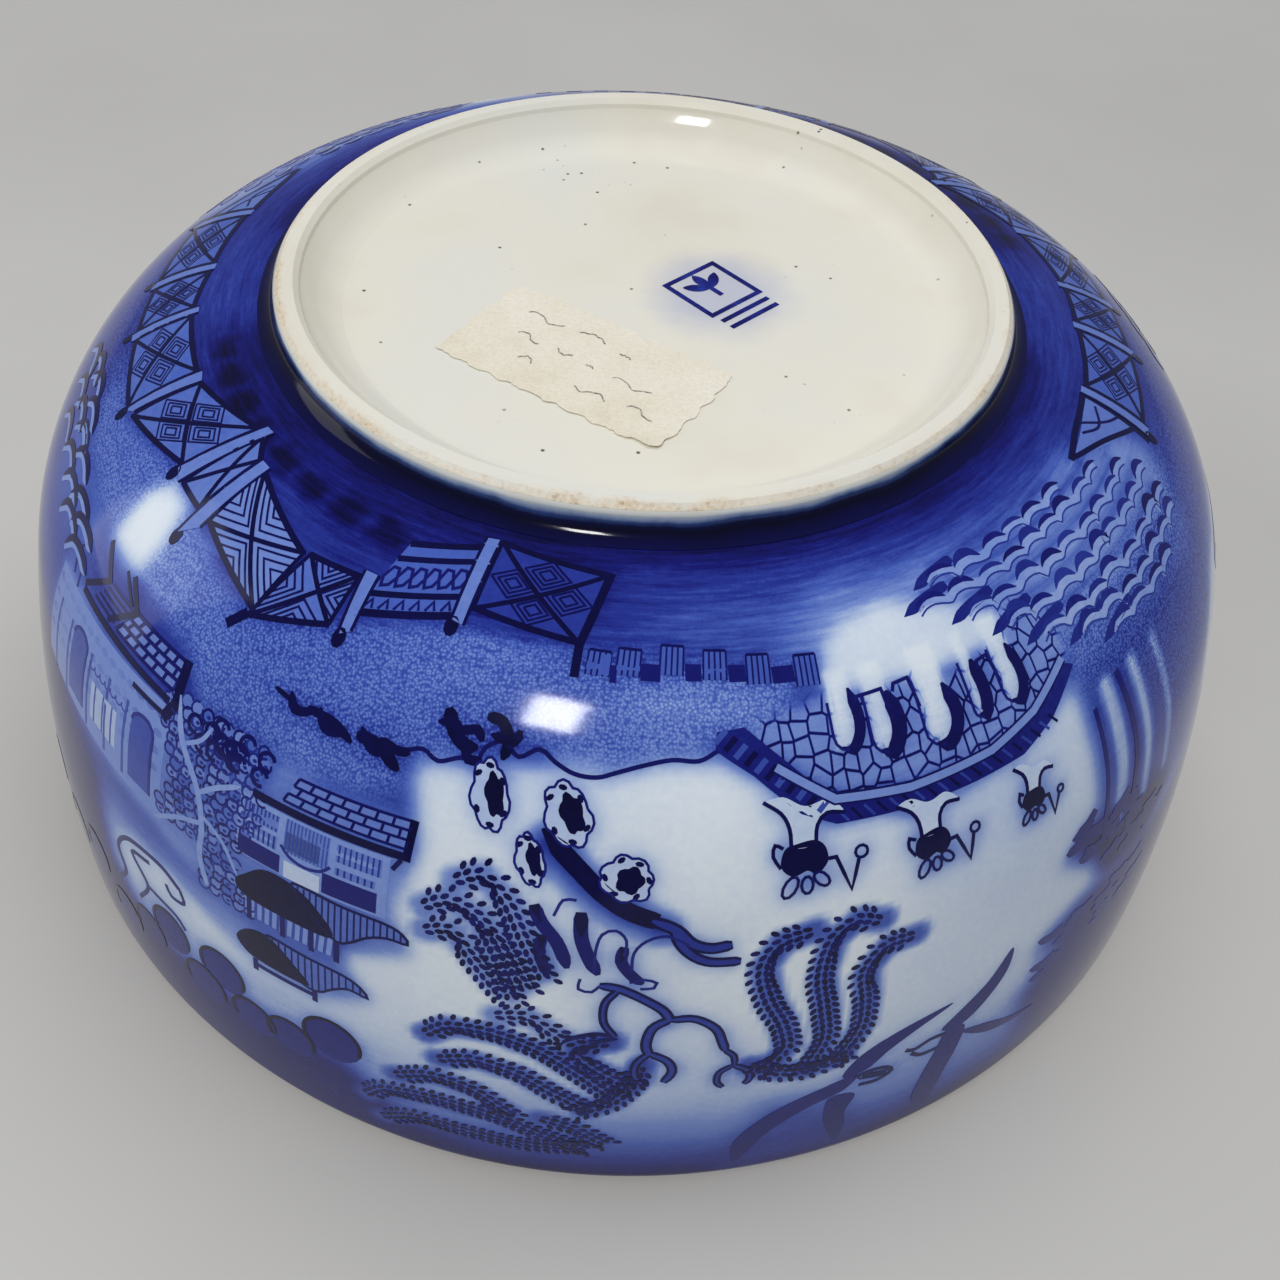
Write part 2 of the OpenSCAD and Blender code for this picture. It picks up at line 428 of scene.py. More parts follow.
def new_material(name, roughness=0.1):
    """A material, add() for its nodes, and shade(), which feeds its shader."""
    material = bpy.data.materials.new(name)
    material.use_nodes = True
    nodes, links = material.node_tree.nodes, material.node_tree.links
    shade = partial(feed, links, nodes["Principled BSDF"])
    shade({"Roughness": roughness, "IOR": 1.5, "Specular IOR Level": 0.21})
    return material, builder(nodes, links), shade


def plus(add, a, b):
    return add("ShaderNodeMath", {0: a, 1: b}, operation="ADD").outputs[0]


def minus(add, a, b):
    return add("ShaderNodeMath", {0: a, 1: b}, operation="SUBTRACT").outputs[0]


def times(add, a, b):
    return add("ShaderNodeMath", {0: a, 1: b}, operation="MULTIPLY").outputs[0]


def mapped(add, value, low, high, to_low=0.0, to_high=1.0, **settings):
    """A value carried from low..high to to_low..to_high."""
    ends = {"From Min": low, "From Max": high, "To Min": to_low, "To Max": to_high}
    return add("ShaderNodeMapRange", {"Value": value, **ends}, **settings).outputs[0]


def mixed(add, share, a, b, **settings):
    """Colour a with so much of colour b."""
    return add("ShaderNodeMix", {"Factor": share, 6: a, 7: b}, data_type="RGBA", **settings).outputs[2]


def bumped(add, height, strength, distance):
    made = add("ShaderNodeBump", {"Height": height, "Strength": strength, "Distance": distance})
    return made.outputs["Normal"]


def ramp(add, value, *stops):
    """A colour ramp over (place, colour) stops."""
    node = add("ShaderNodeValToRGB", {"Fac": value})
    band = node.color_ramp.elements
    while len(band) < len(stops):
        band.new(0.5)
    for element, (place, colour) in zip(band, stops):
        element.position = place
        element.color = colour
    return node.outputs["Color"]


def noise(add, where, scale, detail):
    inputs = {"Vector": where, "Scale": scale, "Detail": detail, "Roughness": 0.55}
    return add("ShaderNodeTexNoise", inputs).outputs["Fac"]


def swing(add, where, scale, detail, reach):
    """Noise about zero, over a range of reach."""
    return times(add, minus(add, noise(add, where, scale, detail), 0.5), reach)


def cells(add, where, scale, randomness=1.0, **settings):
    """Distance from the middles, or the edges, of scattered cells."""
    inputs = {"Vector": where, "Scale": scale, "Randomness": randomness}
    return add("ShaderNodeTexVoronoi", inputs, **settings).outputs["Distance"]


def object_place(add):
    return add("ShaderNodeTexCoord").outputs["Object"]


def attribute(add, name, part="Fac"):
    return add("ShaderNodeAttribute", attribute_name=name).outputs[part]


COBALT = [(0.0, srgb(222, 231, 240)), (0.12, srgb(186, 202, 229)), (0.3, srgb(120, 145, 210)),
          (0.5, srgb(70, 96, 184)), (0.66, srgb(38, 54, 148)), (0.8, srgb(20, 24, 112)),
          (0.92, srgb(10, 10, 74)), (1.0, srgb(5, 5, 46))]


def group(name, inputs, outputs):
    """A shader node group: its tree, add(), the sockets given to it, and its output node."""
    tree = bpy.data.node_groups.new(name, "ShaderNodeTree")
    for label, value in inputs.items():
        socket = tree.interface.new_socket(label, in_out="INPUT", socket_type="NodeSocketFloat")
        socket.default_value = value
    for label, kind in outputs.items():
        tree.interface.new_socket(label, in_out="OUTPUT", socket_type=kind)
    add = builder(tree.nodes, tree.links)
    return tree, add, add("NodeGroupInput").outputs, add("NodeGroupOutput")


def cobalt_group():
    """Strength of ink in, colour of blue under glaze out, mottled as ink that has flowed."""
    tree, add, given, out = group("cobalt under glaze", {"Ink": 0.5, "Mottle": 0.1},
                                  {"Color": "NodeSocketColor"})
    where = object_place(add)
    patches = minus(add, noise(add, where, 45, 4), 0.5)
    wander = plus(add, patches, swing(add, where, 900, 2, 0.7))
    ink = plus(add, given["Ink"], times(add, wander, given["Mottle"]))
    feed(tree.links, out, {"Color": ramp(add, ink, *COBALT)})
    return tree


def glaze_skin_group():
    """Height of a fired glaze, slow waves and orange peel, and its roughness."""
    tree, add, given, out = group("fired glaze skin", {"Waves": 1.0},
                                  {"Height": "NodeSocketFloat", "Roughness": "NodeSocketFloat"})
    where = object_place(add)
    waves = times(add, noise(add, where, 28, 2), given["Waves"])
    peel = times(add, noise(add, where, 420, 2), 0.05)
    rough = mapped(add, noise(add, where, 60, 4), 0.0, 1.0, 0.05, 0.13)
    feed(tree.links, out, {"Height": plus(add, waves, peel), "Roughness": rough})
    return tree


COBALT_GROUP = cobalt_group()
SKIN_GROUP = glaze_skin_group()


def cobalt(add, ink, mottle):
    """The colour of so much ink."""
    made = add("ShaderNodeGroup", {"Ink": ink, "Mottle": mottle}, node_tree=COBALT_GROUP)
    return made.outputs["Color"]


def glazed(add, shade, colour, waves=1.0):
    """Gives a shader its colour and the skin of the glaze."""
    skin = add("ShaderNodeGroup", {"Waves": waves}, node_tree=SKIN_GROUP).outputs
    shade({"Base Color": colour, "Roughness": skin["Roughness"],
           "Normal": bumped(add, skin["Height"], 0.55, 0.00022)})


def printed_glaze():
    """The outside coat: soft blue washes, stippled ground and brush streaks, from its attributes."""
    material, add, shade = new_material("blue printed glaze")
    place = attribute(add, "art", "Vector")
    dots = mapped(add, cells(add, object_place(add), 2300, 0.8), 0.2, 0.75)
    stipple = times(add, minus(add, dots, 0.5), attribute(add, "stipple"))
    crack = cells(add, place, 0.37, 0.85, voronoi_dimensions="2D", feature="DISTANCE_TO_EDGE")
    joints = times(add, mapped(add, crack, 0.045, 0.1, 0.55, 0.0), attribute(add, "stones"))
    broad = add("ShaderNodeMapping", {"Vector": place, "Scale": (0.05, 1.0, 1.0)}).outputs[0]
    fine = add("ShaderNodeMapping", {"Vector": place, "Scale": (0.3, 3.0, 1.0)}).outputs[0]
    brush = plus(add, noise(add, broad, 1.1, 4), times(add, noise(add, fine, 0.9, 3), 0.4))
    streaks = times(add, minus(add, brush, 0.7), attribute(add, "streaks"))
    drawn = plus(add, attribute(add, "ink"), joints)
    brushed = plus(add, times(add, stipple, 0.25), times(add, streaks, 0.5))
    glazed(add, shade, cobalt(add, plus(add, drawn, brushed), 0.09))
    return material


def print_ink():
    """Crisp printed lines, as dark as their ink attribute says."""
    material, add, shade = new_material("printed blue ink")
    glazed(add, shade, cobalt(add, attribute(add, "ink"), 0.12))
    return material


PRINT_INK = print_ink()


# ------------------------------------------------------------------------- the printed scene

def quad_place(corners, u, v):
    """Art coordinates at shares u and v of a panel, whose corners start at the low left."""
    a, b, c, d = (np.array(p, float) for p in corners)
    return tuple((1 - v) * ((1 - u) * a + u * b) + v * ((1 - u) * d + u * c))


def panel_line(ink, corners, path, width, strength=0.96, layer=3):
    """A line along a path of shares of a panel."""
    ink.bar([quad_place(corners, u, v) for u, v in path], width, strength, layer)


def diamonds(size):
    """Paths of four diamonds, one in each quarter of a crossed panel."""
    a = size / 2 * 0.8
    return [[(u - a, v), (u, v - a), (u + a, v), (u, v + a), (u - a, v)]
            for u, v in ((0.5, 0.75), (0.5, 0.25), (0.25, 0.5), (0.75, 0.5))]


def chevrons(size):
    """Paths of four chevrons, one against each side of a crossed panel."""
    a = size / 2
    level = [[(0.5 - a, v), (0.5, v + way * a), (0.5 + a, v)] for v, way in ((1, -1), (0, 1))]
    upright = [[(u, 0.5 - a), (u + way * a, 0.5), (u, 0.5 + a)] for u, way in ((0, 1), (1, -1))]
    return level + upright


NESTS = {"diamonds": (diamonds, (0.2, 0.36, 0.52), 0.32), "chevrons": (chevrons, (0.28, 0.52, 0.76), 0.34),
         "bare": (diamonds, (), 0.32)}


def fretwork(ink, corners, ground, style="diamonds"):
    """A fence panel: rails, crossed bars and nested diamonds or chevrons between them."""
    ink.fill([quad_place(corners, u, v) for u, v in box_of(0, 1, 0, 1)], ground, 1)
    for v in (0.02, 0.98):
        panel_line(ink, corners, [(0, v), (1, v)], 0.9)
    for u in (0.01, 0.99):
        panel_line(ink, corners, [(u, 0), (u, 1)], 0.6)
    panel_line(ink, corners, [(0, 0), (1, 1)], 0.7)
    panel_line(ink, corners, [(0, 1), (1, 0)], 0.7)
    paths, sizes, width = NESTS[style]
    for size in sizes:
        for path in paths(size):
            panel_line(ink, corners, path, width, 0.9, 2)


def post(ink, corners):
    """A pale fence post with dark sides and a knob at its foot."""
    ink.fill(corners, 0.4, 4)
    for u in (0, 1):
        panel_line(ink, corners, [(u, 0), (u, 1)], 0.45, 0.93, 5)
    ink.spot(*quad_place(corners, 0.2, -0.06), 1.0, 1.5, ink=0.97, layer=4)


FENCE = [
    ([(-15.5, 104), (-4.2, 101.8), (-1.8, 112.6), (-15.4, 115.2)], 0.66),
    ([(-36, 90.5), (-28, 95), (-27.8, 103), (-34, 102.5)], 0.46, "chevrons"),
    ([(-46.5, 97), (-35.6, 91.5), (-34.6, 102), (-46.6, 108)], 0.36, "chevrons"),
    ([(-53, 97.5), (-48.6, 97), (-48.2, 108.5), (-51.4, 111.5)], 0.42, "bare"),
    ([(-67, 94.5), (-55, 99), (-52.8, 111.5), (-65.6, 107)], 0.46),
    ([(-80, 95.5), (-68.6, 94), (-67.8, 107), (-80, 106.5)], 0.48),
    ([(76.4, 95), (88.4, 96), (88.4, 107.5), (76.2, 107)], 0.5),
    ([(90.4, 96), (98.4, 95.5), (98.4, 106.5), (90.4, 107.5)], 0.5),
]
POSTS = [
    [(-17.1, 101.8), (-15.7, 101.4), (-15.5, 115.2), (-17.3, 115)],
    [(-26.8, 94.5), (-25.7, 95.6), (-26, 104), (-27.7, 104)],
    [(-48.7, 92.5), (-46.7, 95.6), (-46.2, 108.5), (-48.1, 108.6)],
    [(-55.2, 98.5), (-53.4, 97.2), (-50.8, 112.5), (-52.6, 112.4)],
    [(-68.7, 93.2), (-67.3, 95.2), (-65.7, 107), (-67.7, 107.6)],
    [(74.6, 94), (76.2, 94), (76, 107.6), (74.4, 107.6)],
    [(88.6, 95), (90.2, 95), (90.2, 108), (88.6, 108)],
    [(98.5, 94.6), (99.9, 94.6), (99.9, 107.4), (98.5, 107.4)],
]


def fence():
    ink = Print("fence_print")
    for panel in FENCE:
        fretwork(ink, *panel)
    for corners in POSTS:
        post(ink, corners)
    lozenge_panel(ink, [(-26.3, 98), (-17.2, 102), (-17.2, 113.5), (-25, 110.4)])
    # the slanting end of the fence on the right
    ink.fill([(62, 105.2), (74, 97), (74.2, 107)], 0.42, 1)
    for path, width, strength, smooth in (
            ([(61.5, 105.4), (67, 106.8), (74.4, 107.2)], 1.1, 0.95, True),
            ([(74.3, 107.4), (74, 93.5)], 1.2, 0.95, False),
            ([(61.8, 105.4), (68, 102), (73.9, 97.2)], 0.9, 0.95, True),
            ([(68.5, 106.6), (71.5, 102.5), (73.8, 100.5)], 0.5, 0.88, True),
            ([(67, 105.6), (70, 103.4), (73.2, 104.8)], 0.5, 0.88, True),
            ([(-1.9, 112.8), (-4.3, 101.9), (-4.4, 97.4)], 1.2, 0.95, False),
            ([(-36, 91), (-37.4, 88)], 1.5, 0.95, False)):
        ink.stroke(path, width, strength, smooth=smooth)


def lozenge_panel(ink, corners):
    """A fence panel with a band of lozenges over a band of small teeth."""
    count = 6
    ink.fill(corners, 0.52, 1)
    for low, width in ((0.02, 1.1), (0.27, 0.9), (0.76, 0.9), (0.98, 1.0)):
        panel_line(ink, corners, [(0, low), (1, low)], width)
    for k in range(count):
        u = (k + 0.5) / count
        lozenge = [(u - 0.08, 0.5), (u - 0.03, 0.38), (u + 0.05, 0.4), (u + 0.09, 0.5), (u + 0.04, 0.62),
                   (u - 0.04, 0.64), (u - 0.08, 0.5)]
        panel_line(ink, corners, lozenge, 0.45, 0.85, 2)
        panel_line(ink, corners, [(u - 0.05, 0.08), (u, 0.2), (u + 0.05, 0.08)], 0.4, 0.85, 2)


def ground_edge():
    """Dark outline, rocks and low wall along the stippled ground."""
    ink = Print("ground_edge_print", flow=1.4)
    edge = [(-17.2, 83.6), (-15.8, 84.4), (-14.4, 83.4), (-12.6, 84.6), (-11.4, 84.2), (-10.8, 86.6),
            (-9.4, 87.8), (-8, 86.2), (-6.4, 87.6), (-5, 86.2), (-3.4, 85), (-1.6, 84.8), (0, 85.6),
            (2, 86.6), (4.4, 87.4), (6.6, 87.2), (8.2, 88.4)]
    ink.stroke(edge, 0.6, 0.86, 2)
    for path, width in (([(-14.6, 90.5), (-13.6, 87.6), (-12.4, 86.2), (-11.4, 86.4)], 2.6),
                        ([(-11.2, 90.6), (-9.8, 90.2), (-9, 87.8), (-9.3, 85.4)], 2.2),
                        ([(-26.5, 84), (-23.8, 83.6), (-21.8, 82)], 1.8),
                        ([(-21.6, 83.4), (-19.6, 83), (-17.4, 80.6)], 2.4),
                        ([(-30, 84.4), (-28, 83.8), (-26.6, 82.8)], 1.0)):
        ink.stroke(path, width * 0.72, 0.96, 2, ends=(0.5, 0.3))
    for path in ([(-15.2, 88.4), (-13.6, 88.6), (-12.6, 85.8)],
                 [(-13.6, 87.6), (-11.8, 88.6), (-11.2, 87.2)],
                 [(-10.6, 88.4), (-8.6, 88), (-8.2, 89.6)], [(-25.4, 84.8), (-24.4, 82.4), (-22.6, 82.8)],
                 [(-21.4, 84.6), (-20, 82.2), (-18.4, 82.6)], [(-19.6, 84), (-18, 83.2), (-16.8, 83.4)],
                 [(-28.4, 85), (-27.6, 83), (-26, 83.6)], [(-12.6, 86.6), (-12, 84.6), (-10.9, 84.9)]):
        ink.stroke(path, 1.3, 0.94, 2, ends=(0.2, 0.5))
    low_wall(ink)


def low_wall(ink):
    """A low wall of striped blocks, with shade between them."""
    for angle, height, tall in ((-2.3, 99.6, 3.4), (0.5, 100, 3.6), (4.5, 100.4, 4), (8.5, 99.6, 4),
                                (12.5, 98.6, 4), (17, 97.6, 4.2)):
        block = local(angle, height, -4, box_of(-1.5, 1.5, -tall / 2, tall / 2))
        ink.fill(block, 0.55, 2)
        for k in range(5):
            panel_line(ink, block, [(k / 4, 0), (k / 4, 1)], 0.26, 0.86, 3)
        panel_line(ink, block, [(0, 1), (1, 1)], 0.4, 0.9, 3)
    for a, b, height in ((-1.2, -0.6, 98.4), (1.6, 3.4, 98.8), (5.7, 7.2, 98.8), (9.7, 11.3, 98.4),
                         (13.7, 15.8, 97.6)):
        ink.fill([(a, height - 1.2), (b, height - 1.3), (b, height + 1), (a, height + 1.1)], 0.84, 1)


SLOTS = [(19.3, 1.15, 86.2, 0.45), (22.7, 1.2, 84.6, 0.9), (27.9, 1.5, 83.2, 0.75),
         (32.2, 0.75, 84.6, 0.75), (36, 1.15, 84.4, 0.55)]      # middle, half width, foot, shade
BRIDGE_FACE = [(9.8, 90.4), (13, 92), (16, 93.2), (18.1, 94.4), (21, 92.6), (23.4, 93.4), (25.2, 93),
               (27, 93.6), (30.6, 91.6), (34.6, 92.4), (37.4, 95.4), (40.4, 97.4), (43.4, 93),
               (42.6, 86), (37, 82), (32, 80.4), (24, 79.8), (17.7, 80.6), (13.4, 85.4)]


def slot_outline(middle, half, low):
    """An open arch between the stones: straight sides and a round end."""
    turns = np.radians(range(180, 361, 30))
    end = [(middle + half * math.cos(t), low + half * 1.75 * (1 + math.sin(t))) for t in turns]
    return [(middle - half, 97)] + end + [(middle + half, 97)]


def bridge():
    """A stone bridge: open arches with dark shade, a pale string course and a dark soffit."""
    ink = Print("bridge_print")
    for middle, half, low, shade in SLOTS:
        arch = slot_outline(middle, half, low)
        ink.stroke([(middle - half, 92.8)] + arch[1:5], 0.4, 0.8, 3)
        ink.stroke([(middle - half * 0.5, low + 0.5), (middle + half * 0.3, low - 0.1),
                    (middle + half * 1.05, low + 1.8), (middle + half * 1.25, low + 4.4),
                    (middle + half * 0.9, low + 8)], 0.9 + shade * 1.5, 0.9, 3, ends=(0.15, 0.2))
    for (a, b), height in (((20.6, 23.4), 92.8), ((24.4, 26.2), 93.2), ((33.2, 34.7), 92)):
        cap = [(a, height - 1), (a + 0.3, height), (b, height + 0.2), (b + 0.3, height - 4)]
        ink.bar(cap, 0.5, 0.86, 3)
    soffit = [(8.2, 90.8), (10.6, 91.2), (13.7, 86.4), (17.6, 79.9), (24, 78.8), (32, 79.4), (37.4, 81.8),
              (41.8, 85.8), (43.2, 84.4), (39, 79.6), (35, 77), (30, 76.6), (24, 76.4), (17.4, 76.8),
              (14.6, 79), (11, 84.8), (8, 88.4)]
    ink.fill(soffit, 0.8, 1)
    for k in range(11):
        a, drop = 9 + 0.8 * k, 1.05 * k
        ink.bar([(a, 91 - drop), (a - 1, 89.4 - drop)], 0.8, 0.95 if k % 2 else 0.6, 2)
    for k in range(20):
        a = 17.6 + k * 1.1
        rise = 0.012 * (k - 7) ** 2 if k > 7 else 0
        joint = [(a, 78.6 + rise), (a + 0.8, 76.9 + rise)]
        ink.bar(joint, 0.4, 0.95 if k % 2 else 0.64, 2)
    course = [(12.9, 85.6), (17.5, 80.2), (24, 79.2), (32, 79.8), (37.2, 82), (42.2, 86.2)]
    ink.bar(course, 1.7, 0.88, 3)
    ink.bar(course, 1.1, 0.32, 4)


def walkers():
    """Three small robed figures of plain design, hanging heads down from the bridge."""
    ink = Print("walkers_print", flow=2.4)
    walker(ink, 14.6, 74, 1.0, 0)
    walker(ink, 25.2, 71.2, 0.86, 4)
    walker(ink, 35.2, 70.6, 0.66, -6)


def walker(ink, angle, height, size, lean):
    """A figure with a pale robe, a dark sash and back, a staff and a three-part hat."""
    def at(*offsets):
        return local(angle, height, lean, [(x * size, y * size) for x, y in offsets])
    ink.fill(at((-5, 7), (-2.6, 5.2), (-1.6, 3), (-1.6, 0.6), (1.6, 0.6), (2, 3), (3.4, 4.6), (6, 4.4),
                (4, 6.4), (0.6, 6), (-2.4, 7.6)), 0.12, 2, smooth=True)
    ink.stroke(at((-5.2, 7.2), (-2.8, 5.4), (-1.8, 3.2), (-1.7, 0.6)), 0.55, 0.92, 3)
    ink.stroke(at((6.2, 4.2), (3.6, 4.6), (2.1, 3.2), (1.7, 0.6)), 0.55, 0.92, 3)
    ink.fill(at((-2.6, 0.4), (-3.2, -2), (-1.6, -3.6), (0.4, -3), (1.6, -3.8), (3.2, -2.2), (3, 0),
                (1.6, 1.2), (-1, 1)), 0.97, 3, smooth=True)
    ink.bar(at((3, -1.8), (4.4, -1.8), (6.4, -7.2), (7.6, -2.6)), 0.55, 0.93, 3)
    ink.ring(*at((8, -1.8))[0], 0.9 * size, 0.42, 0.9, 3, 10)
    ink.stroke(at((-2.8, 0.6), (-3.9, 1.2), (-4.2, -0.4), (-3.2, -2.2)), 0.5, 0.92, 3)
    for x, y, wide, tall, tilt in ((-2, -5.2, 1.7, 0.9, 62), (0.3, -5.2, 0.8, 1.3, 0),
                                   (2.3, -4.6, 1.4, 0.8, -50)):
        c, s = math.cos(math.radians(tilt)), math.sin(math.radians(tilt))
        brim = oval(wide, tall, 10)
        brim = at(*[(x + u * c - v * s, y + u * s + v * c) for u, v in brim + brim[:1]])
        ink.bar(brim, 0.42, 0.9, 3)


PINE_ROWS = [((33, 104.6), (57, 105.6), 6), ((30.6, 101.6), (64, 102.2), 9), ((35, 98.2), (68, 98.2), 9),
             ((38.5, 94.4), (70, 94), 9), ((41.5, 90.8), (70, 89.6), 8), ((46, 87.2), (69.4, 86), 7),
             ((50, 84), (64, 83.4), 4)]


FRILL = [(0.02, 0.2), (0.2, 1.3), (0.46, 1.8), (0.78, 1.5), (1.0, 0.1), (0.84, 0.3), (0.66, 0.65),
         (0.45, 0.7), (0.22, 0.6)]
RIDGE = [(0.02, 1.1), (0.25, 0.4), (0.55, 0.2), (0.84, 0.6)]


def pines():
    """Rows of frills: dark crescents over a pale ridge whose teeth point down, like pine or rock."""
    ink = Print("pines_print", flow=0.3)
    pick = random.Random(8)
    for (a0, h0), (a1, h1), teeth in PINE_ROWS:
        edge = []
        wide = (a1 - a0) / teeth
        for k in range(teeth):
            a = a0 + wide * (k + pick.uniform(-0.14, 0.14))
            h = h0 + (h1 - h0) * k / teeth + pick.uniform(-0.5, 0.5)
            swell = pick.uniform(0.6, 1.3)
            frill = [(a + wide * u, h + v * swell) for u, v in FRILL]
            ink.fill(frill, pick.uniform(0.7, 0.86), 2, smooth=True)
            edge += [(a + wide * u, h - v) for u, v in RIDGE]
        start = [(a0 - 2.2, h0 - 0.4), (a0 + 0.6, h0 + 0.9), (a0 + 4, h0 + 1.7)]
        ink.stroke(start, 1.6, 0.76, 1, ends=(0.05, 0.6))
        ink.stroke([(a, h + 0.5) for a, h in edge], 1.5, 0.28, 1, ends=(0.2, 0.5))
        ink.stroke([(a, h - 0.2) for a, h in edge], 0.26, 0.66, 3)


def lobed(wide, tall, lobes, depth, turn_by=0.0):
    """An oval outline with so many shallow lobes."""
    outline = []
    for k in range(lobes * 4):
        t = 2 * math.pi * k / (lobes * 4)
        swell = 1 + depth * abs(math.sin(lobes * t / 2 + turn_by)) - depth / 2
        outline.append((wide * swell * math.cos(t), tall * swell * math.sin(t)))
    return outline


def tube(ink, path, width, dark=0.92, pale=0.64):
    """A twig drawn as two dark sides with a paler middle."""
    ink.stroke(path, width, dark, 2, ends=(0.6, 0.7))
    ink.stroke(path, max(0.3, width - 0.9), pale, 3, ends=(0.4, 0.6))


def blossoms():
    """A thick dark branch, lobed blossoms with dark hearts, hooked tendrils and twigs."""
    ink = Print("blossom_print", flow=1.8)
    ink.stroke([(-5.4, 77.4), (-4, 75), (-2.2, 72), (-0.6, 69.2), (1.4, 66.6), (3.6, 65)], 2.7, 0.97, 2,
               ends=(0.15, 0.9))
    tube(ink, [(3.2, 65.2), (5, 63.6), (6.2, 61.2), (7.6, 60.2), (9.2, 60.6)], 2.0, 0.93, 0.68)
    tube(ink, [(4.8, 63.2), (5.8, 60), (7.4, 57.8), (9.9, 57.4)], 1.8, 0.93, 0.68)
    for place in ((-3.6, 79.6, 22, 2.9, 4.4), (1.2, 71.4, -25, 3.5, 3.2), (-9.8, 80.6, 14, 2.4, 4.7),
                  (-6.1, 72.8, 16, 1.8, 3.7)):
        blossom(ink, *place)
    twigs(ink)


def blossom(ink, angle, height, tilt, wide, tall):
    """A pale lobed flower with a dark heart and six stamens."""
    outline = [(x * (1 + 0.07 * math.sin(y + wide)), y) for x, y in lobed(wide, tall, 7, 0.15)]
    ink.fill(local(angle, height, tilt, outline), 0.16, 2, smooth=True)
    ink.stroke(local(angle, height, tilt, outline + outline[:1]), 0.36, 0.8, 3)
    heart = [(x + 0.14 * tall, y) for x, y in lobed(wide * 0.5, tall * 0.6, 5, 0.3, 0.6)]
    ink.fill(local(angle, height, tilt, heart), 0.98, 3, smooth=True)
    for t in (25, 80, 130, 205, 260, 320):
        x, y = wide * 0.84 * math.cos(math.radians(t)), tall * 0.84 * math.sin(math.radians(t))
        ink.spot(*local(angle, height, tilt, [(x, y)])[0], 0.62, 0.4, t + 90, ink=0.94, layer=3, sides=7)


def twigs(ink):
    """Hooked tendrils and the twigs that hang from the branch."""
    for path, width in (
            ([(-5.5, 66.4), (-4.9, 63.8), (-3.7, 60.8), (-3.1, 58), (-2.8, 56)], 2.0),
            ([(-4.7, 61.6), (-4.9, 58.6), (-4.2, 54.2)], 1.7),
            ([(-2, 66), (-1.9, 62), (-1.3, 58.4), (-0.5, 55.2)], 2.0),
            ([(1.3, 60.6), (1.1, 58), (1.9, 55.4), (2.8, 53.8)], 1.7)):
        ink.stroke(path, width, 0.84, 2, ends=(0.7, 0.35))
        ink.stroke(path[:2], width * 0.9, 0.96, 3, ends=(0.8, 0.2))
    for path in ([(-0.8, 55.6), (-0.8, 59.6), (-0.4, 62.6), (0.6, 63.4), (1.4, 61.8), (1.3, 59)],
                 [(1.9, 56), (2.0, 59.6), (2.9, 61.8), (4.4, 62.6), (6, 61)],
                 [(-4, 65), (-3.4, 67.6), (-2.4, 67.8)],
                 [(-1.8, 54.2), (-1.9, 52.2), (-0.9, 51.8), (-0.4, 53), (0.4, 53.6)],
                 [(2.6, 52.8), (3.6, 53), (3.8, 54), (2.9, 54.6), (1.8, 54)]):
        ink.stroke(path, 0.42, 0.78, 3)
    for path, width in (([(-0.4, 53.2), (1.2, 52.6), (3, 50.6), (4.4, 48.4), (5, 46.2)], 1.7),
                        ([(5, 46.6), (3.7, 44.6), (3.3, 41), (3.6, 38.6)], 1.7),
                        ([(3.6, 39), (2.7, 36.6), (2.6, 33.6), (3.2, 31.4)], 1.4),
                        ([(3.6, 39), (5, 37), (5.4, 34.4), (4.8, 31.8)], 1.6),
                        ([(5, 46.4), (6.8, 46.4), (8.4, 44), (9, 40.8), (9.3, 38.8)], 1.6),
                        ([(9.2, 39), (10, 37.2), (10.1, 35)], 1.2),
                        ([(10, 35), (9, 33.4), (8.9, 31), (9.4, 29.6)], 1.2),
                        ([(10, 35), (11.2, 33.2), (11.4, 31), (11, 29.8)], 1.3),
                        ([(1, 52.4), (0.1, 49.6), (0.1, 45.6), (1, 42.6)], 1.3)):
        tube(ink, path, width)
    for path in ([(1, 42.6), (-0.6, 43), (-2.4, 41.4), (-3, 40)],
                 [(1.2, 42.2), (-0.2, 41.4), (-1, 39.6), (-2.2, 38)]):
        ink.stroke(path, 0.8, 0.88, 2, ends=(0.3, 0.2))


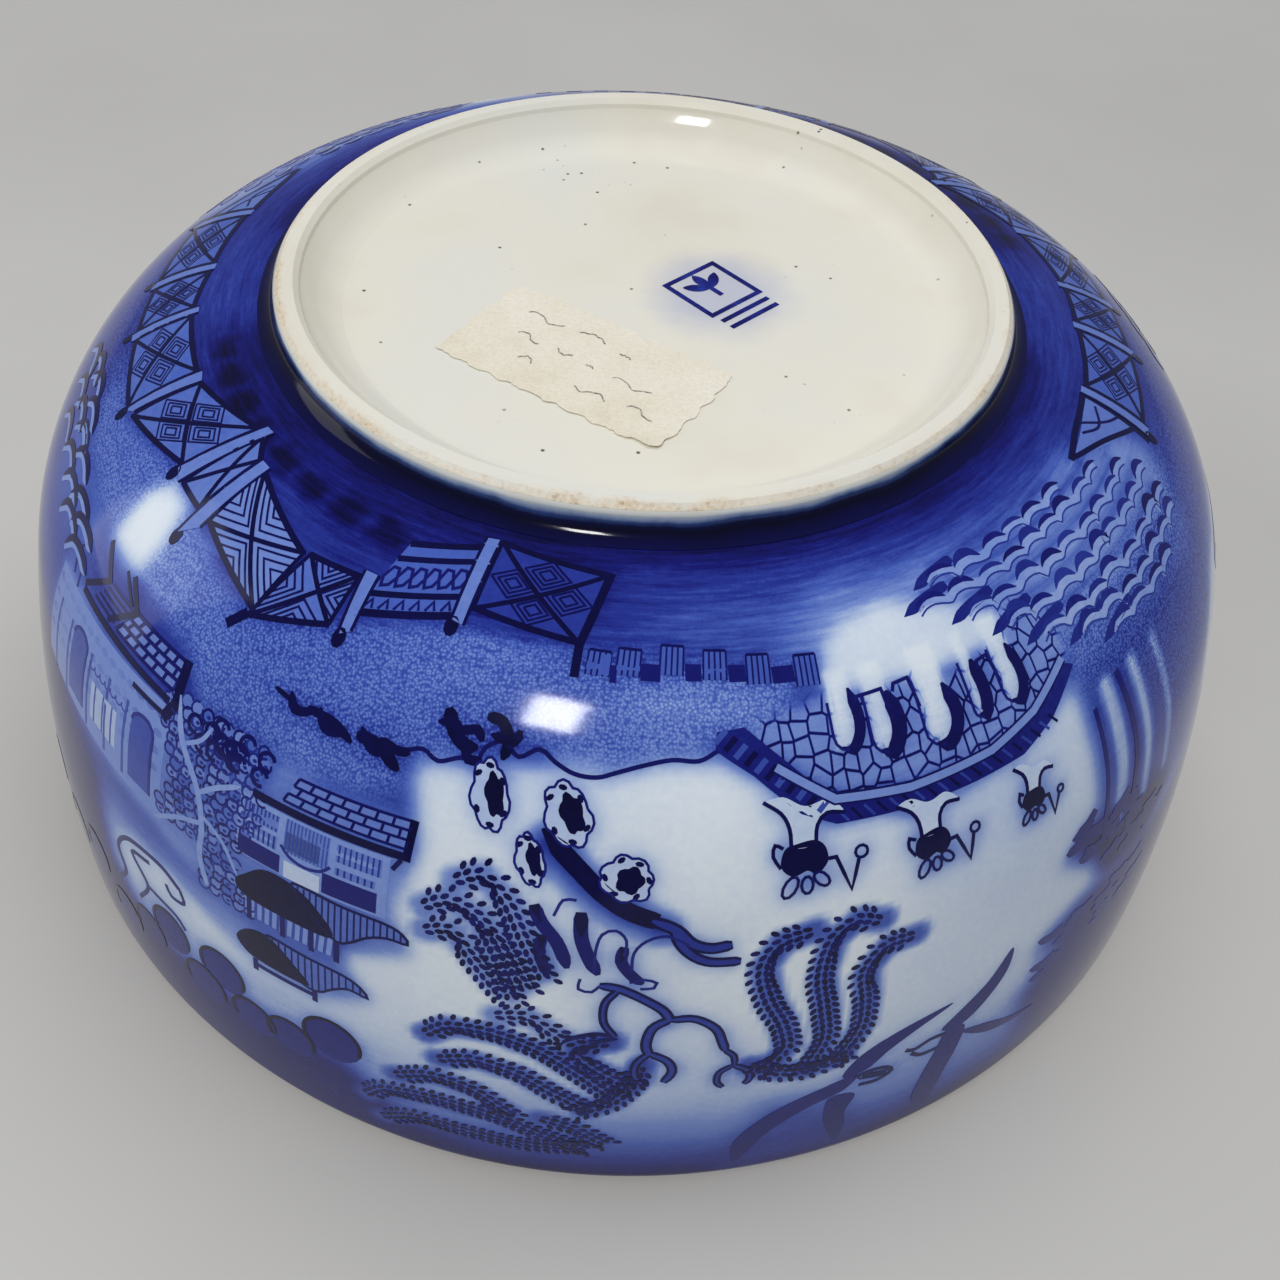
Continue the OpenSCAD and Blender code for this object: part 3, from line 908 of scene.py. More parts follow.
PALE_STRANDS = range(12, 17)           # these lie over the bare sky
STRANDS = [
    [(15.3, 61), (12.8, 59.8), (11.6, 55.4), (12.2, 49), (13.5, 43), (14, 37.4), (12.6, 33.4)],
    [(20.8, 60), (18.8, 61.3), (16.9, 58.6), (16.2, 52), (16.7, 45), (17.1, 38), (16, 31.4)],
    [(23.8, 55), (21.4, 54.8), (19.8, 50.6), (20.1, 44), (20, 38), (18.6, 32)],
    [(11.3, 34.4), (13.2, 31.8), (16, 30.4), (18.6, 31.6)],
    [(-13.4, 36.4), (-11.6, 39.6), (-8.2, 40.3), (-4.6, 38), (-1.6, 33.4), (0.8, 28.6)],
    [(-12.4, 31), (-9.6, 33), (-6.2, 31.6), (-3.6, 28), (-1.2, 24.8)],
    [(0.6, 41.2), (-2, 39.8), (-0.8, 35.6), (2, 31.2)],
    [(3, 36), (2.4, 31), (1, 26.4), (-1, 23.6)],
    [(-16, 23), (-13, 26), (-9.6, 25), (-7, 20.6)],
    [(-18.8, 13.4), (-17, 17.4), (-13, 19.5), (-8.2, 18.6), (-4.2, 15), (-1.2, 12)],
    [(-17.6, 7.6), (-14.6, 11.4), (-10.2, 11.6), (-6, 11), (-2, 11.6)],
    [(-4.4, 20), (-2, 18.4), (0.3, 14.6)],
    [(-13.8, 62.4), (-12, 64.4), (-9.6, 63), (-7.6, 58), (-6, 52)],
    [(-13.6, 58.2), (-11.6, 59.4), (-9.8, 55), (-8, 50.4)],
    [(-11.6, 67.8), (-9.6, 69.4), (-7.5, 66), (-6, 60), (-4.7, 54.6)],
    [(-9, 61), (-7.8, 55.4), (-6.9, 49.6)],
    [(-8, 44.4), (-5.6, 45.2), (-3.4, 42)],
]


LEAVES = {"Spacing": ("Float", 1.45 * MM), "Rows": ("Int", 4), "Row gap": ("Float", 1.15 * MM),
          "Leaf reach": ("Float", 0.74 * MM), "Leaf share": ("Float", 0.58),
          "Thickness": ("Float", 0.12 * MM), "Seed": ("Int", 5)}


def leaf_tree():
    """Rows of small oval leaves along each strand, lying flat on the wall."""
    tree = bpy.data.node_groups.new("willow leaves", "GeometryNodeTree")
    tree.is_modifier = True
    face = tree.interface
    face.new_socket("Geometry", in_out="INPUT", socket_type="NodeSocketGeometry")
    for label, (kind, value) in LEAVES.items():
        socket = face.new_socket(label, in_out="INPUT", socket_type="NodeSocket" + kind)
        socket.default_value = value
    face.new_socket("Ink", in_out="INPUT", socket_type="NodeSocketMaterial")
    face.new_socket("Geometry", in_out="OUTPUT", socket_type="NodeSocketGeometry")
    add = builder(tree.nodes, tree.links)
    given = add("NodeGroupInput").outputs
    heading, outward, spots = leaf_spots(add, given)
    turned = add("FunctionNodeAxesToRotation", {0: outward, 1: heading},
                 primary_axis="Z", secondary_axis="X").outputs[0]
    leaf = add("GeometryNodeMeshCylinder", {"Vertices": 7, "Radius": given["Leaf reach"],
                                            "Depth": given["Thickness"]}).outputs["Mesh"]
    squash = add("ShaderNodeCombineXYZ", {0: 1.0, 1: given["Leaf share"], 2: 1.0}).outputs[0]
    leaf = add("GeometryNodeTransform", {"Geometry": leaf, "Scale": squash}).outputs[0]
    leaves = add("GeometryNodeInstanceOnPoints", {"Points": spots, "Instance": leaf, "Rotation": turned})
    real = add("GeometryNodeRealizeInstances", {"Geometry": leaves.outputs[0]})
    dressed = add("GeometryNodeSetMaterial", {"Geometry": real.outputs[0], "Material": given["Ink"]})
    add("NodeGroupOutput", {"Geometry": dressed.outputs[0]})
    return tree


def leaf_spots(add, given):
    """The heading of each leaf, the way out of the wall, and points in rows along the strands."""
    def vector(operation, a, b):
        second = "Scale" if operation == "SCALE" else 1
        return add("ShaderNodeVectorMath", {0: a, second: b}, operation=operation).outputs[0]
    outward = add("GeometryNodeInputNamedAttribute", {"Name": "outward"},
                  data_type="FLOAT_VECTOR").outputs[0]
    strand = add("GeometryNodeMeshToCurve", {"Mesh": given["Geometry"]}).outputs[0]
    points = add("GeometryNodeCurveToPoints", {"Curve": strand, "Length": given["Spacing"]},
                 mode="LENGTH").outputs
    tangent = points["Tangent"]
    many = add("GeometryNodeDuplicateElements", {"Geometry": points["Points"], "Amount": given["Rows"]},
               domain="POINT").outputs
    row = minus(add, many["Duplicate Index"], 1.5)
    across = vector("CROSS_PRODUCT", outward, tangent)
    aside = vector("SCALE", across, times(add, row, given["Row gap"]))
    away = add("ShaderNodeMath", {0: row}, operation="ABSOLUTE").outputs[0]
    ahead = vector("SCALE", tangent, times(add, away, given["Spacing"]))
    moved = add("GeometryNodeSetPosition", {"Geometry": many["Geometry"],
                                            "Offset": vector("ADD", aside, ahead)}).outputs[0]
    leaning = vector("SCALE", across, times(add, row, 0.62))
    ink = add("FunctionNodeRandomValue", {2: 0.84, 3: 0.97, "Seed": given["Seed"]},
              data_type="FLOAT").outputs[1]
    inked = add("GeometryNodeStoreNamedAttribute", {"Geometry": moved, "Name": "ink", "Value": ink},
                data_type="FLOAT", domain="POINT").outputs[0]
    return vector("ADD", tangent, leaning), outward, inked


def willow():
    """Leaves along the willow strands, both times round the bowl."""
    points, edges, outward = [], [], []
    for turned in REPEATS:
        for strand in STRANDS:
            path = rounded(np.array(strand) * (DEGREE, 1), STRAND_STEP) / (DEGREE, 1) + (turned, 0)
            on, off = on_wall(path[:, 0], path[:, 1]), on_wall(path[:, 0], path[:, 1], 1)
            edges += [(len(points) + k, len(points) + k + 1) for k in range(len(path) - 1)]
            points += [tuple(p) for p in on]
            outward += [tuple(p) for p in (off - on) / MM]
    mesh = bpy.data.meshes.new("strands")
    mesh.from_pydata(points, edges, [])
    ways = mesh.attributes.new("outward", "FLOAT_VECTOR", "POINT")
    ways.data.foreach_set("vector", np.array(outward).ravel())
    strands = new_object("strands", mesh)
    tree = leaf_tree()
    leaves = strands.modifiers.new("leaves", "NODES")
    leaves.node_group = tree
    for item in tree.interface.items_tree:
        if item.name == "Ink":
            leaves[item.identifier] = PRINT_INK
    seen = bpy.context.evaluated_depsgraph_get()
    grown = bpy.data.meshes.new_from_object(strands.evaluated_get(seen), depsgraph=seen)
    strands.modifiers.remove(leaves)
    bpy.data.objects.remove(strands)
    grown.name = "willow_leaves"
    piece = new_object("willow_leaves", grown)
    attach(piece, "root")


def brick_rows(ink, corners, rows, bricks, joint=0.42):
    """Pale bricks with dark joints on a four-cornered panel."""
    ink.fill(corners, 0.4, 1)
    for k in range(rows + 1):
        panel_line(ink, corners, [(0, k / rows), (1, k / rows)], joint, 0.86, 2)
    for row in range(rows):
        for k in range(bricks + 1):
            u = min(1, (k + 0.5 * (row % 2)) / bricks)
            panel_line(ink, corners, [(u, row / rows), (u, (row + 1) / rows)], joint, 0.86, 2)


def hatch(ink, corners, count, width, strength, layer=2, ground=0.42):
    """A pale panel with close upright lines."""
    ink.fill(corners, ground, 1)
    for k in range(count):
        u = (k + 0.5) / count
        panel_line(ink, corners, [(u, 0), (u, 1)], width, strength, layer)


def hatched(ink, outline, count):
    """An outline filled with pale ink and close upright lines, with a dark edge."""
    ink.fill(outline, 0.46, 1, smooth=True)
    left, right = min(a for a, _ in outline), max(a for a, _ in outline)
    sides = list(zip(outline, outline[1:] + outline[:1]))
    for k in range(1, count):
        a = left + (right - left) * k / count
        cuts = sorted(h + (g - h) * (a - b) / (c - b) for (b, h), (c, g) in sides if (b > a) != (c > a))
        if len(cuts) > 1:
            ink.bar([(a, cuts[0]), (a, cuts[-1])], 0.3, 0.86, 2)
    closed = list(closed_curve(np.array(outline) * (DEGREE, 1), 1) / (DEGREE, 1))
    ink.bar(closed + closed[:1], 0.45, 0.9, 3)


def pavilion():
    """Two tiers with brick ridge, panelled walls and hung roofs, and the house on the left."""
    ink = Print("pavilion_print")
    upper_tier(ink)
    lower_tier(ink)
    house(ink)


def upper_tier(ink):
    brick_rows(ink, [(-26.2, 70.4), (-15.6, 70.4), (-15.4, 74.6), (-25.2, 74.4)], 3, 7)
    ink.bar([(-29, 69.2), (-15.4, 69.2), (-15.2, 74.8)], 1.2, 0.96, 3)
    ink.stroke([(-15.8, 68.6), (-16.4, 66.8)], 0.7, 0.9, 3)
    ink.fill(box_of(-30, -16.6, 58, 68.4), 0.3, 1)
    hatch(ink, box_of(-29.6, -26.2, 65, 67.6), 9, 0.3, 0.66)
    hatch(ink, box_of(-29.6, -26.2, 62, 64.2), 7, 0.34, 0.7)
    hatch(ink, box_of(-25.6, -21.6, 62.6, 68), 12, 0.22, 0.6)
    ink.stroke([(-25.8, 63.4), (-25, 62), (-23.6, 61.4), (-22.2, 62), (-21.4, 63.4)], 0.5, 0.74, 3)
    hatch(ink, box_of(-21, -17.2, 64.8, 67.6), 8, 0.3, 0.66)
    hatch(ink, box_of(-21, -17.6, 62.6, 63.8), 6, 0.34, 0.7)
    ink.fill(box_of(-22, -17.4, 58.4, 62), 0.8, 2)
    ink.fill(box_of(-29.8, -25.8, 58.2, 61.4), 0.8, 2)
    ink.fill(box_of(-25.4, -22.2, 58, 61), 0.12, 2)
    hatched(ink, [(-24.6, 57.4), (-20, 57.2), (-16.6, 57), (-15.2, 56), (-14.8, 54.4), (-16.4, 54.4),
                  (-18, 53.2), (-19.4, 51), (-20.6, 50), (-22.4, 52.6)], 18)
    ink.fill([(-30, 52), (-29, 54.4), (-27.4, 57), (-25.4, 57.4), (-23.4, 56.2), (-22, 54), (-21, 51.6),
              (-21.4, 50), (-25, 49.8), (-29, 50)], 0.97, 3, smooth=True)


def lower_tier(ink):
    hatch(ink, [(-29, 46.4), (-20.6, 46.4), (-20.4, 50), (-29, 50)], 12, 0.5, 0.6, 2, 0.3)
    for angle in (-28.6, -25.4, -22.8, -20.6):
        ink.bar([(angle, 45.6), (angle, 50)], 0.9, 0.84, 3)
    hatched(ink, [(-27, 43.8), (-23, 43.6), (-20, 43.2), (-18.6, 42), (-18, 40.2), (-19.6, 40.6), (-21, 39),
                  (-22.2, 37), (-23.6, 37), (-25, 40)], 15)
    ink.fill([(-30, 40), (-29, 42.6), (-27.5, 43.7), (-26, 43), (-24.4, 40.4), (-23.2, 38), (-23.6, 37),
              (-28, 37), (-29.4, 38)], 0.98, 3, smooth=True)
    ink.bar([(-28.4, 35.6), (-22.4, 35.6)], 0.8, 0.86, 3)
    for angle in (-28.2, -22.6):
        ink.bar([(angle, 34.2), (angle, 36.8)], 0.9, 0.86, 3)


def house(ink):
    brick_rows(ink, [(-48.4, 75.2), (-39.4, 75.2), (-39, 80), (-46.6, 80)], 3, 6, 0.6)
    ink.fill([(-53.4, 75), (-48.8, 75), (-46.6, 80), (-51.4, 80)], 0.66, 1)
    for k in range(5):
        ink.bar([(-53 + k * 0.4, 75.6 + k), (-49 + k * 0.5, 75.6 + k)], 0.45, 0.9, 2)
    for path, width in (([(-54.8, 83.6), (-52, 79.4), (-55.2, 75)], 1.0),
                        ([(-49.4, 83.4), (-46.8, 79.8), (-50, 75)], 1.0),
                        ([(-50.6, 83), (-47.8, 79.9)], 0.6), ([(-55, 74.2), (-39.4, 73.4)], 1.1),
                        ([(-39, 80.4), (-38.6, 73.6), (-39.6, 70.4)], 1.7), ([(-44, 71), (-39.6, 71)], 0.8)):
        ink.bar(path, width, 0.95, 3)
    ink.fill([(-60, 55), (-38.6, 52), (-38.6, 72.6), (-60, 72.6)], 0.34, 0)
    for angle, height, half in ((-52.8, 63, 1.5), (-41.6, 62, 1.5)):
        turns = np.radians(range(0, 181, 30))
        top = [(angle + half * math.cos(t), height + 4 + 1.9 * math.sin(t)) for t in turns]
        arch = [(angle - half, height - 7), (angle + half, height - 7)] + top
        ink.fill(arch, 0.6, 1)
        ink.stroke(arch[1:], 0.6, 0.74, 2)
    for angle in (-58, -55, -50.4, -47, -44):
        ink.bar([(angle, 54), (angle, 68)], 0.6, 0.6, 1)
    for k in range(7):
        ink.ring(-50 + k * 0.95, 66.6, 0.9, 0.3, 0.62, 2, 8, 180, 180)
    hatch(ink, box_of(-49.6, -45.2, 57, 64), 3, 0.4, 0.6, 2, 0.2)


def leaf_ring(ink, pick, angle, height):
    """A round leaf: a soft spot, an open ring and at times a heart."""
    ink.spot(angle, height, 1.2, 1.05, ink=0.42 + pick.uniform(-0.06, 0.1), layer=0, sides=9)
    ink.ring(angle, height, pick.uniform(0.9, 1.15), 0.36, pick.uniform(0.68, 0.86), 1, 9,
             pick.uniform(0, 90), 300)
    if pick.random() < 0.5:
        ink.spot(angle + 0.1, height - 0.1, 0.4, 0.3, ink=0.72, layer=1, sides=6)


def orchard():
    """A round-leaved tree: overlapping rings with pale branches winding through them."""
    ink = Print("orchard_print")
    pick = random.Random(2)
    for row in range(18):
        height = 46.5 + row * 1.7
        left = -38.5 - 1.2 * math.sin(row * 0.5)
        right = -28.4 - 2.2 * max(0, math.sin(row * 0.45 - 1.2))
        k = 0
        while left + k * 1.25 < right:
            angle = left + k * 1.25 + (row % 2) * 0.6 + pick.uniform(-0.15, 0.15)
            if not (row < 5 and angle < -34):
                leaf_ring(ink, pick, angle, height)
            k += 1
    for path, width in (([(-33, 46.5), (-33.8, 52), (-33.6, 58), (-34.4, 64), (-37, 70), (-38.4, 75.5)], 1.5),
                        ([(-34.2, 63.6), (-32.4, 66.4), (-30.2, 68.8)], 1.1),
                        ([(-33.7, 58.4), (-36.4, 56), (-39.4, 52)], 1.1),
                        ([(-33.6, 60), (-31.4, 57.6), (-29.8, 53)], 1.0),
                        ([(-36.6, 69.4), (-35, 71.6), (-34.2, 74.4)], 0.9)):
        ink.stroke(path, width * 0.75, 0.28, 3, ends=(0.8, 0.3))
    for k in range(16):
        angle, height = -36.5 + pick.uniform(0, 8.5), 73 + pick.uniform(-1.8, 2.2)
        ink.ring(angle, height, 1.3, 0.6, 0.88, 2, 9, 20, 280)


SCALLOP = [(-5, -1.4), (-3.6, 0.8), (-0.8, 1.6), (2.6, 1.3), (5, 0.2), (3.4, -0.4), (1.4, 0.1),
           (-1.6, 0.2), (-3.4, -1.2), (-4.4, -2.2)]


def clouds():
    """Scrolled clouds, round bushes and the scalloped bank on the left."""
    ink = Print("cloud_print")
    for angle, height, radius in ((-38.4, 26.4, 4.8), (-32.2, 27, 5), (-21.4, 25.6, 5.3), (-25.4, 20.4, 4.7),
                                  (-29.2, 19.6, 4.6), (-34.6, 19.4, 4.8), (-41.8, 20.4, 4.4), (-46, 16, 4.6),
                                  (-51, 22, 4.6), (-56.6, 18, 4.8), (-62, 23, 4.4), (-67.6, 18, 4.6)):
        ink.fill(local(angle, height, 0, oval(radius, radius, 20)), 0.78, 0)
        ink.ring(angle, height, radius - 0.3, 0.7, 1.0, 2, 20, -20, 230)
    for path, width in (([(-46.2, 25), (-44.6, 30), (-45.4, 35), (-43.4, 40), (-39, 41.8), (-36.4, 40)], 0.9),
                        ([(-42.6, 27), (-41, 33), (-43, 37.6), (-40.4, 39.6)], 0.8),
                        ([(-36.4, 40), (-36, 37.4), (-37.6, 36.6), (-38.2, 38.4)], 0.7),
                        ([(-41, 33), (-37.4, 32.4), (-36.2, 30.4)], 0.7)):
        ink.stroke(path, width, 0.82, 2)
    for angle, height in ((-80, 86.4), (-76.4, 87.2), (-72.6, 86), (-74.8, 82.8), (-70.6, 83.4),
                          (-66.8, 82.6), (-70, 79.4), (-66, 78.8), (-62.4, 80.2), (-63, 76.6),
                          (-59.6, 78.6), (-58.6, 75.4), (-83, 84), (-79, 82), (-75.6, 78.6)):
        scallop = local(angle, height, 0, SCALLOP)
        ink.fill(scallop, 0.3, 2, smooth=True)
        ink.stroke(scallop[:5], 1.2, 0.92, 3, ends=(0.3, 0.3))
    for path in ([(-57.6, 73.6), (-58.6, 77), (-57.4, 79.2)], [(-56.2, 72.8), (-56.8, 76)]):
        ink.stroke(path, 0.5, 0.8, 2)


def thicket():
    """Dark feathery growth and two dark upright lines on the right."""
    ink = Print("thicket_print")
    pick = random.Random(11)
    for k in range(34):
        t = k / 33
        angle = 41.5 + 13 * t + pick.uniform(-1.2, 1.2)
        height = 56 - 9 * t + pick.uniform(-5, 6) * (1 - 0.3 * t)
        feather = local(angle, height, pick.uniform(160, 205), [(0, 0), (2.6, 0.8), (5, 0.2)])
        ink.stroke(feather, 1.9, 0.78, 1, ends=(0.8, 0.05))
    for _ in range(26):
        angle, height = 39.5 + pick.random() * 14, 33 + pick.uniform(-4, 5)
        feather = local(angle, height, pick.uniform(168, 192), [(0, 0), (3, 0.8), (6, 0)])
        ink.stroke(feather, 1.9, 0.76, 1, ends=(0.8, 0.05))
    ink.stroke([(43.8, 52), (44, 64), (43.8, 76.5)], 0.9, 0.8, 2)
    ink.stroke([(48, 54), (48.4, 66), (47.8, 79)], 1.2, 0.8, 2)


def far_shore():
    """An island with a small house and two trees, and a boat, on the side between the two scenes."""
    ink = Print("far_shore_print")
    ink.fill([(74, 66), (77, 63.6), (82, 62.6), (87, 62.8), (92, 63.8), (96, 66), (92, 67.8), (85, 68.6),
              (78, 68)], 0.86, 2, smooth=True)
    for angle, height in ((75.6, 64.4), (79.6, 62.8), (89.4, 63), (93.4, 64.6)):
        ink.spot(angle, height, 2.4, 1.8, ink=0.9, layer=1)
    hatch(ink, box_of(81.4, 86.6, 55, 62.6), 8, 0.4, 0.7, 2, 0.3)
    brick_rows(ink, [(80, 55), (88, 55), (86.8, 51), (81.2, 51)], 2, 5)
    ink.stroke([(79.2, 54), (80.4, 55.6), (87.6, 55.6), (88.8, 54)], 0.9, 0.94, 3)
    pick = random.Random(5)
    for foot_at, top_at in ((91, 90.6), (77.4, 78)):
        ink.stroke([(foot_at, 64), (foot_at + 0.7, 58), (top_at, 51)], 1.3, 0.92, 2, ends=(1, 0.6))
        for _ in range(16):
            angle, height = top_at + pick.uniform(-2.6, 2.6), 49 + pick.uniform(-4, 4.4)
            ink.ring(angle, height, 1.3, 0.7, 0.86, 3, 9, 20, 300)
    ink.fill([(73.6, 40.4), (76, 43.4), (82, 44), (86, 43), (88.4, 40), (85.4, 41.6), (81, 42), (77, 41.8)],
             0.93, 2, smooth=True)
    hatch(ink, [(78.2, 38), (83, 38), (83.2, 42), (78, 42)], 6, 0.4, 0.75, 1, 0.35)
    ink.fill([(77.2, 38.4), (84, 38.4), (82.2, 36), (79, 36)], 0.9, 3, smooth=True)
    ink.bar([(85.4, 43), (86.4, 31)], 0.55, 0.9, 3)
    ink.spot(85, 38.4, 0.8, 2.0, ink=0.93, layer=3)
    ink.spot(85, 35.4, 0.7, 0.8, ink=0.93, layer=3)


def swallows():
    """Two long-tailed swallows."""
    ink = Print("swallow_print")
    for shape in (
            [(19.2, 25.6), (20, 29.4), (22, 32.4), (25, 34.4), (28.4, 35.2), (25.4, 32.4), (23, 29.4),
             (21.2, 26)],
            [(20.4, 25.4), (17.4, 24), (14.2, 20.8), (12, 16.4), (10.8, 11), (11.2, 5), (12.2, 8),
             (13.2, 12.4), (14.6, 16), (16.8, 19.4), (19.6, 22)],
            [(18.4, 20.4), (18.2, 15), (18.8, 9.6), (19.9, 4.6), (20.4, 9.6), (20.1, 14.6), (20.6, 19.6)],
            [(27.8, 28.8), (29.4, 32), (31.8, 36), (33.9, 41.4), (33.8, 36.6), (32.2, 31.6), (30, 28)],
            [(28.4, 28.6), (27.6, 23), (26.8, 16), (26.6, 9), (27.9, 4.4), (28.8, 9.4), (29.4, 16),
             (30, 21.6), (30.2, 27)],
            [(30, 25.4), (32.6, 21), (35.4, 18.9), (38.8, 18.2), (35.8, 20.4), (32.8, 23.6)]):
        ink.fill(shape, 0.8, 2, smooth=True)
    for path in ([(20.2, 24.6), (21.6, 25.2), (23, 24.6), (23.6, 23), (22.4, 21.6), (20.8, 22)],
                 [(28.2, 27.4), (26.8, 27.6), (25.4, 26.6), (24.6, 27.4)],
                 [(25.2, 25.8), (26.2, 24.2), (27.8, 24)]):
        ink.stroke(path, 0.8, 0.9, 3)
    for k in range(7):
        ink.ring(21 + k * 0.35, 24.2 - 0.2 * k, 0.7, 0.3, 0.9, 2, 6)


for draw in (fence, ground_edge, bridge, walkers, pines, blossoms, pavilion, orchard, clouds,
             thicket, swallows, far_shore, willow):
    draw()
for ink in Print.every:
    ink.piece()


# ------------------------------------------------------------------ soft colour under the glaze

HALF_TURN = COLUMNS // 2
ANGLES, HEIGHTS = np.meshgrid(SCENE_LEFT + np.arange(HALF_TURN) * 360 / COLUMNS, WALL_AT)
COLUMN_WIDTH = np.radians(360 / COLUMNS) * WALL_R


def column_at(angle):
    """The column of a wash nearest to an angle, in whichever of the two scenes."""
    return np.round((angle - SCENE_LEFT) % 180 / (360 / COLUMNS)).astype(int) % HALF_TURN


def soften(field, blur):
    """A field over the wall, blurred by so many millimetres. Round the bowl it runs on."""
    turns = np.fft.rfftfreq(HALF_TURN)
    spread = (blur / COLUMN_WIDTH)[:, None]
    smooth = np.fft.irfft(np.fft.rfft(field, axis=1) * np.exp(-2 * (np.pi * turns * spread) ** 2),
                          HALF_TURN, axis=1)
    share = np.exp(-0.5 * ((WALL_AT[:, None] - WALL_AT[None, :]) / blur) ** 2)
    return (share / share.sum(axis=1)[:, None]) @ smooth


def covered(outline):
    """1 inside an outline in art coordinates and 0 outside it. It may run past the scene's ends."""
    found = np.zeros(ANGLES.shape, bool)
    for angles in (ANGLES - 180, ANGLES, ANGLES + 180):
        within = np.zeros(ANGLES.shape, bool)
        for (a, h), (b, g) in zip(outline, outline[1:] + outline[:1]):
            if h != g:
                crossing = (h > HEIGHTS) != (g > HEIGHTS)
                within ^= crossing & (angles < (b - a) * (HEIGHTS - h) / (g - h) + a)
        found |= within
    return found.astype(float)


class Wash:
    """One value that changes softly over the wall."""

    def __init__(self, value):
        self.value = np.full(ANGLES.shape, float(value))

    def paint(self, outline, value, blur, strength=1.0):
        mask = strength * soften(covered(outline), blur)
        self.value = self.value * (1 - mask) + value * mask

    def line(self, path, width, value, blur, strength):
        """A soft brush stroke along a path."""
        per_degree = np.radians(1) * WALL_R[:, None]
        gap = np.full(ANGLES.shape, 1e3)
        for (a, h), (b, g) in zip(path, path[1:]):
            x, y = (ANGLES - a) * per_degree, HEIGHTS - h
            dx, dy = (b - a) * per_degree, g - h
            share = np.clip((x * dx + y * dy) / (dx * dx + dy * dy + 1e-9), 0, 1)
            gap = np.minimum(gap, np.hypot(x - share * dx, y - share * dy))
        mask = strength * np.clip((width / 2 + blur - gap) / (2 * blur), 0, 1)
        self.value = self.value * (1 - mask) + value * mask

    def at_corners(self):
        """The value for each row and each column of the whole turn."""
        whole = -180 + np.arange(COLUMNS) * 360 / COLUMNS
        return self.value[:, column_at(whole)]


POOL = [(-16.4, 83), (-12, 84.6), (-9, 85.2), (-5, 86.2), (0, 86), (3, 87.5), (8, 87.5), (11, 85),
        (14, 80.6), (17, 77), (24, 76.6), (32, 76.6), (37, 78.5), (42.4, 82), (42.6, 66), (42, 56),
        (39, 53.5), (43, 50), (44, 44), (48, 41), (38, 38), (36, 33), (33, 25), (28, 30), (22, 30),
        (14, 22), (10, 17), (0, 15), (-6, 19), (-14, 25), (-20, 31), (-30, 33), (-36, 31), (-42, 26),
        (-45.4, 31), (-46, 37), (-43, 42), (-38, 43), (-30, 36), (-21, 35), (-18, 40), (-20, 45),
        (-20, 49), (-15, 52), (-16.4, 60), (-15, 70)]
PATCH = [(-55.6, 84), (-49.4, 83), (-48.6, 90), (-49.6, 96.4), (-53.8, 97.6), (-55.8, 92)]
SKY = [(17.6, 96), (19, 100), (22, 103.4), (27, 104), (31, 102), (36, 98.6), (38.6, 95.6), (36, 92.6),
       (28, 92.6), (21, 93)]
LAKE = [(66, 62), (70, 70), (80, 72.6), (92, 71.6), (99, 67), (97, 58), (99.4, 46), (95, 34), (89, 26),
        (81, 30), (75, 24), (69, 31), (71, 41), (65, 52)]
GROUND = [(-80, 98), (-67, 94), (-55, 99), (-47, 95), (-36, 91), (-27, 96), (-17, 101), (-4, 101.5),
          (16.5, 98.5), (14, 92), (8.4, 88.5), (3, 87), (0, 85.4), (-5, 87), (-8, 88), (-12, 84.4),
          (-17, 83.6), (-17, 77), (-26, 76), (-36, 76), (-40, 82), (-48, 84), (-56, 84), (-80, 88)]


def shoulder_washes(ink, streaks):
    """Blue over the shoulder, brushed and darker upwards, worn pale behind the bridge."""
    streaks.paint(band(98, ABOVE), 0.7, 2)
    ink.paint(band(104, ABOVE), 0.72, 3)
    ink.paint([(2, 98), (60, 98), (62, 106), (30, 110.4), (2, 108.4)], 0.57, 3)
    ink.paint([(14, 98), (42, 98), (38, 106), (20, 107)], 0.26, 2.5)
    ink.paint([(-80, 106), (-50, 110), (-30, 106), (-15, 110), (-4, 112), (-4, ABOVE), (-80, ABOVE)], 0.8, 2)
    ink.paint(band(114.8, ABOVE), 0.9, 1.6)
    for k in range(9):
        dab = [(-3, -1.8), (2.6, -2), (3.2, 1.7), (-2.6, 2)]
        ink.paint(local(-77 + k * 6.1, 112.2 - 0.25 * k, -8, dab), 0.97, 0.7)


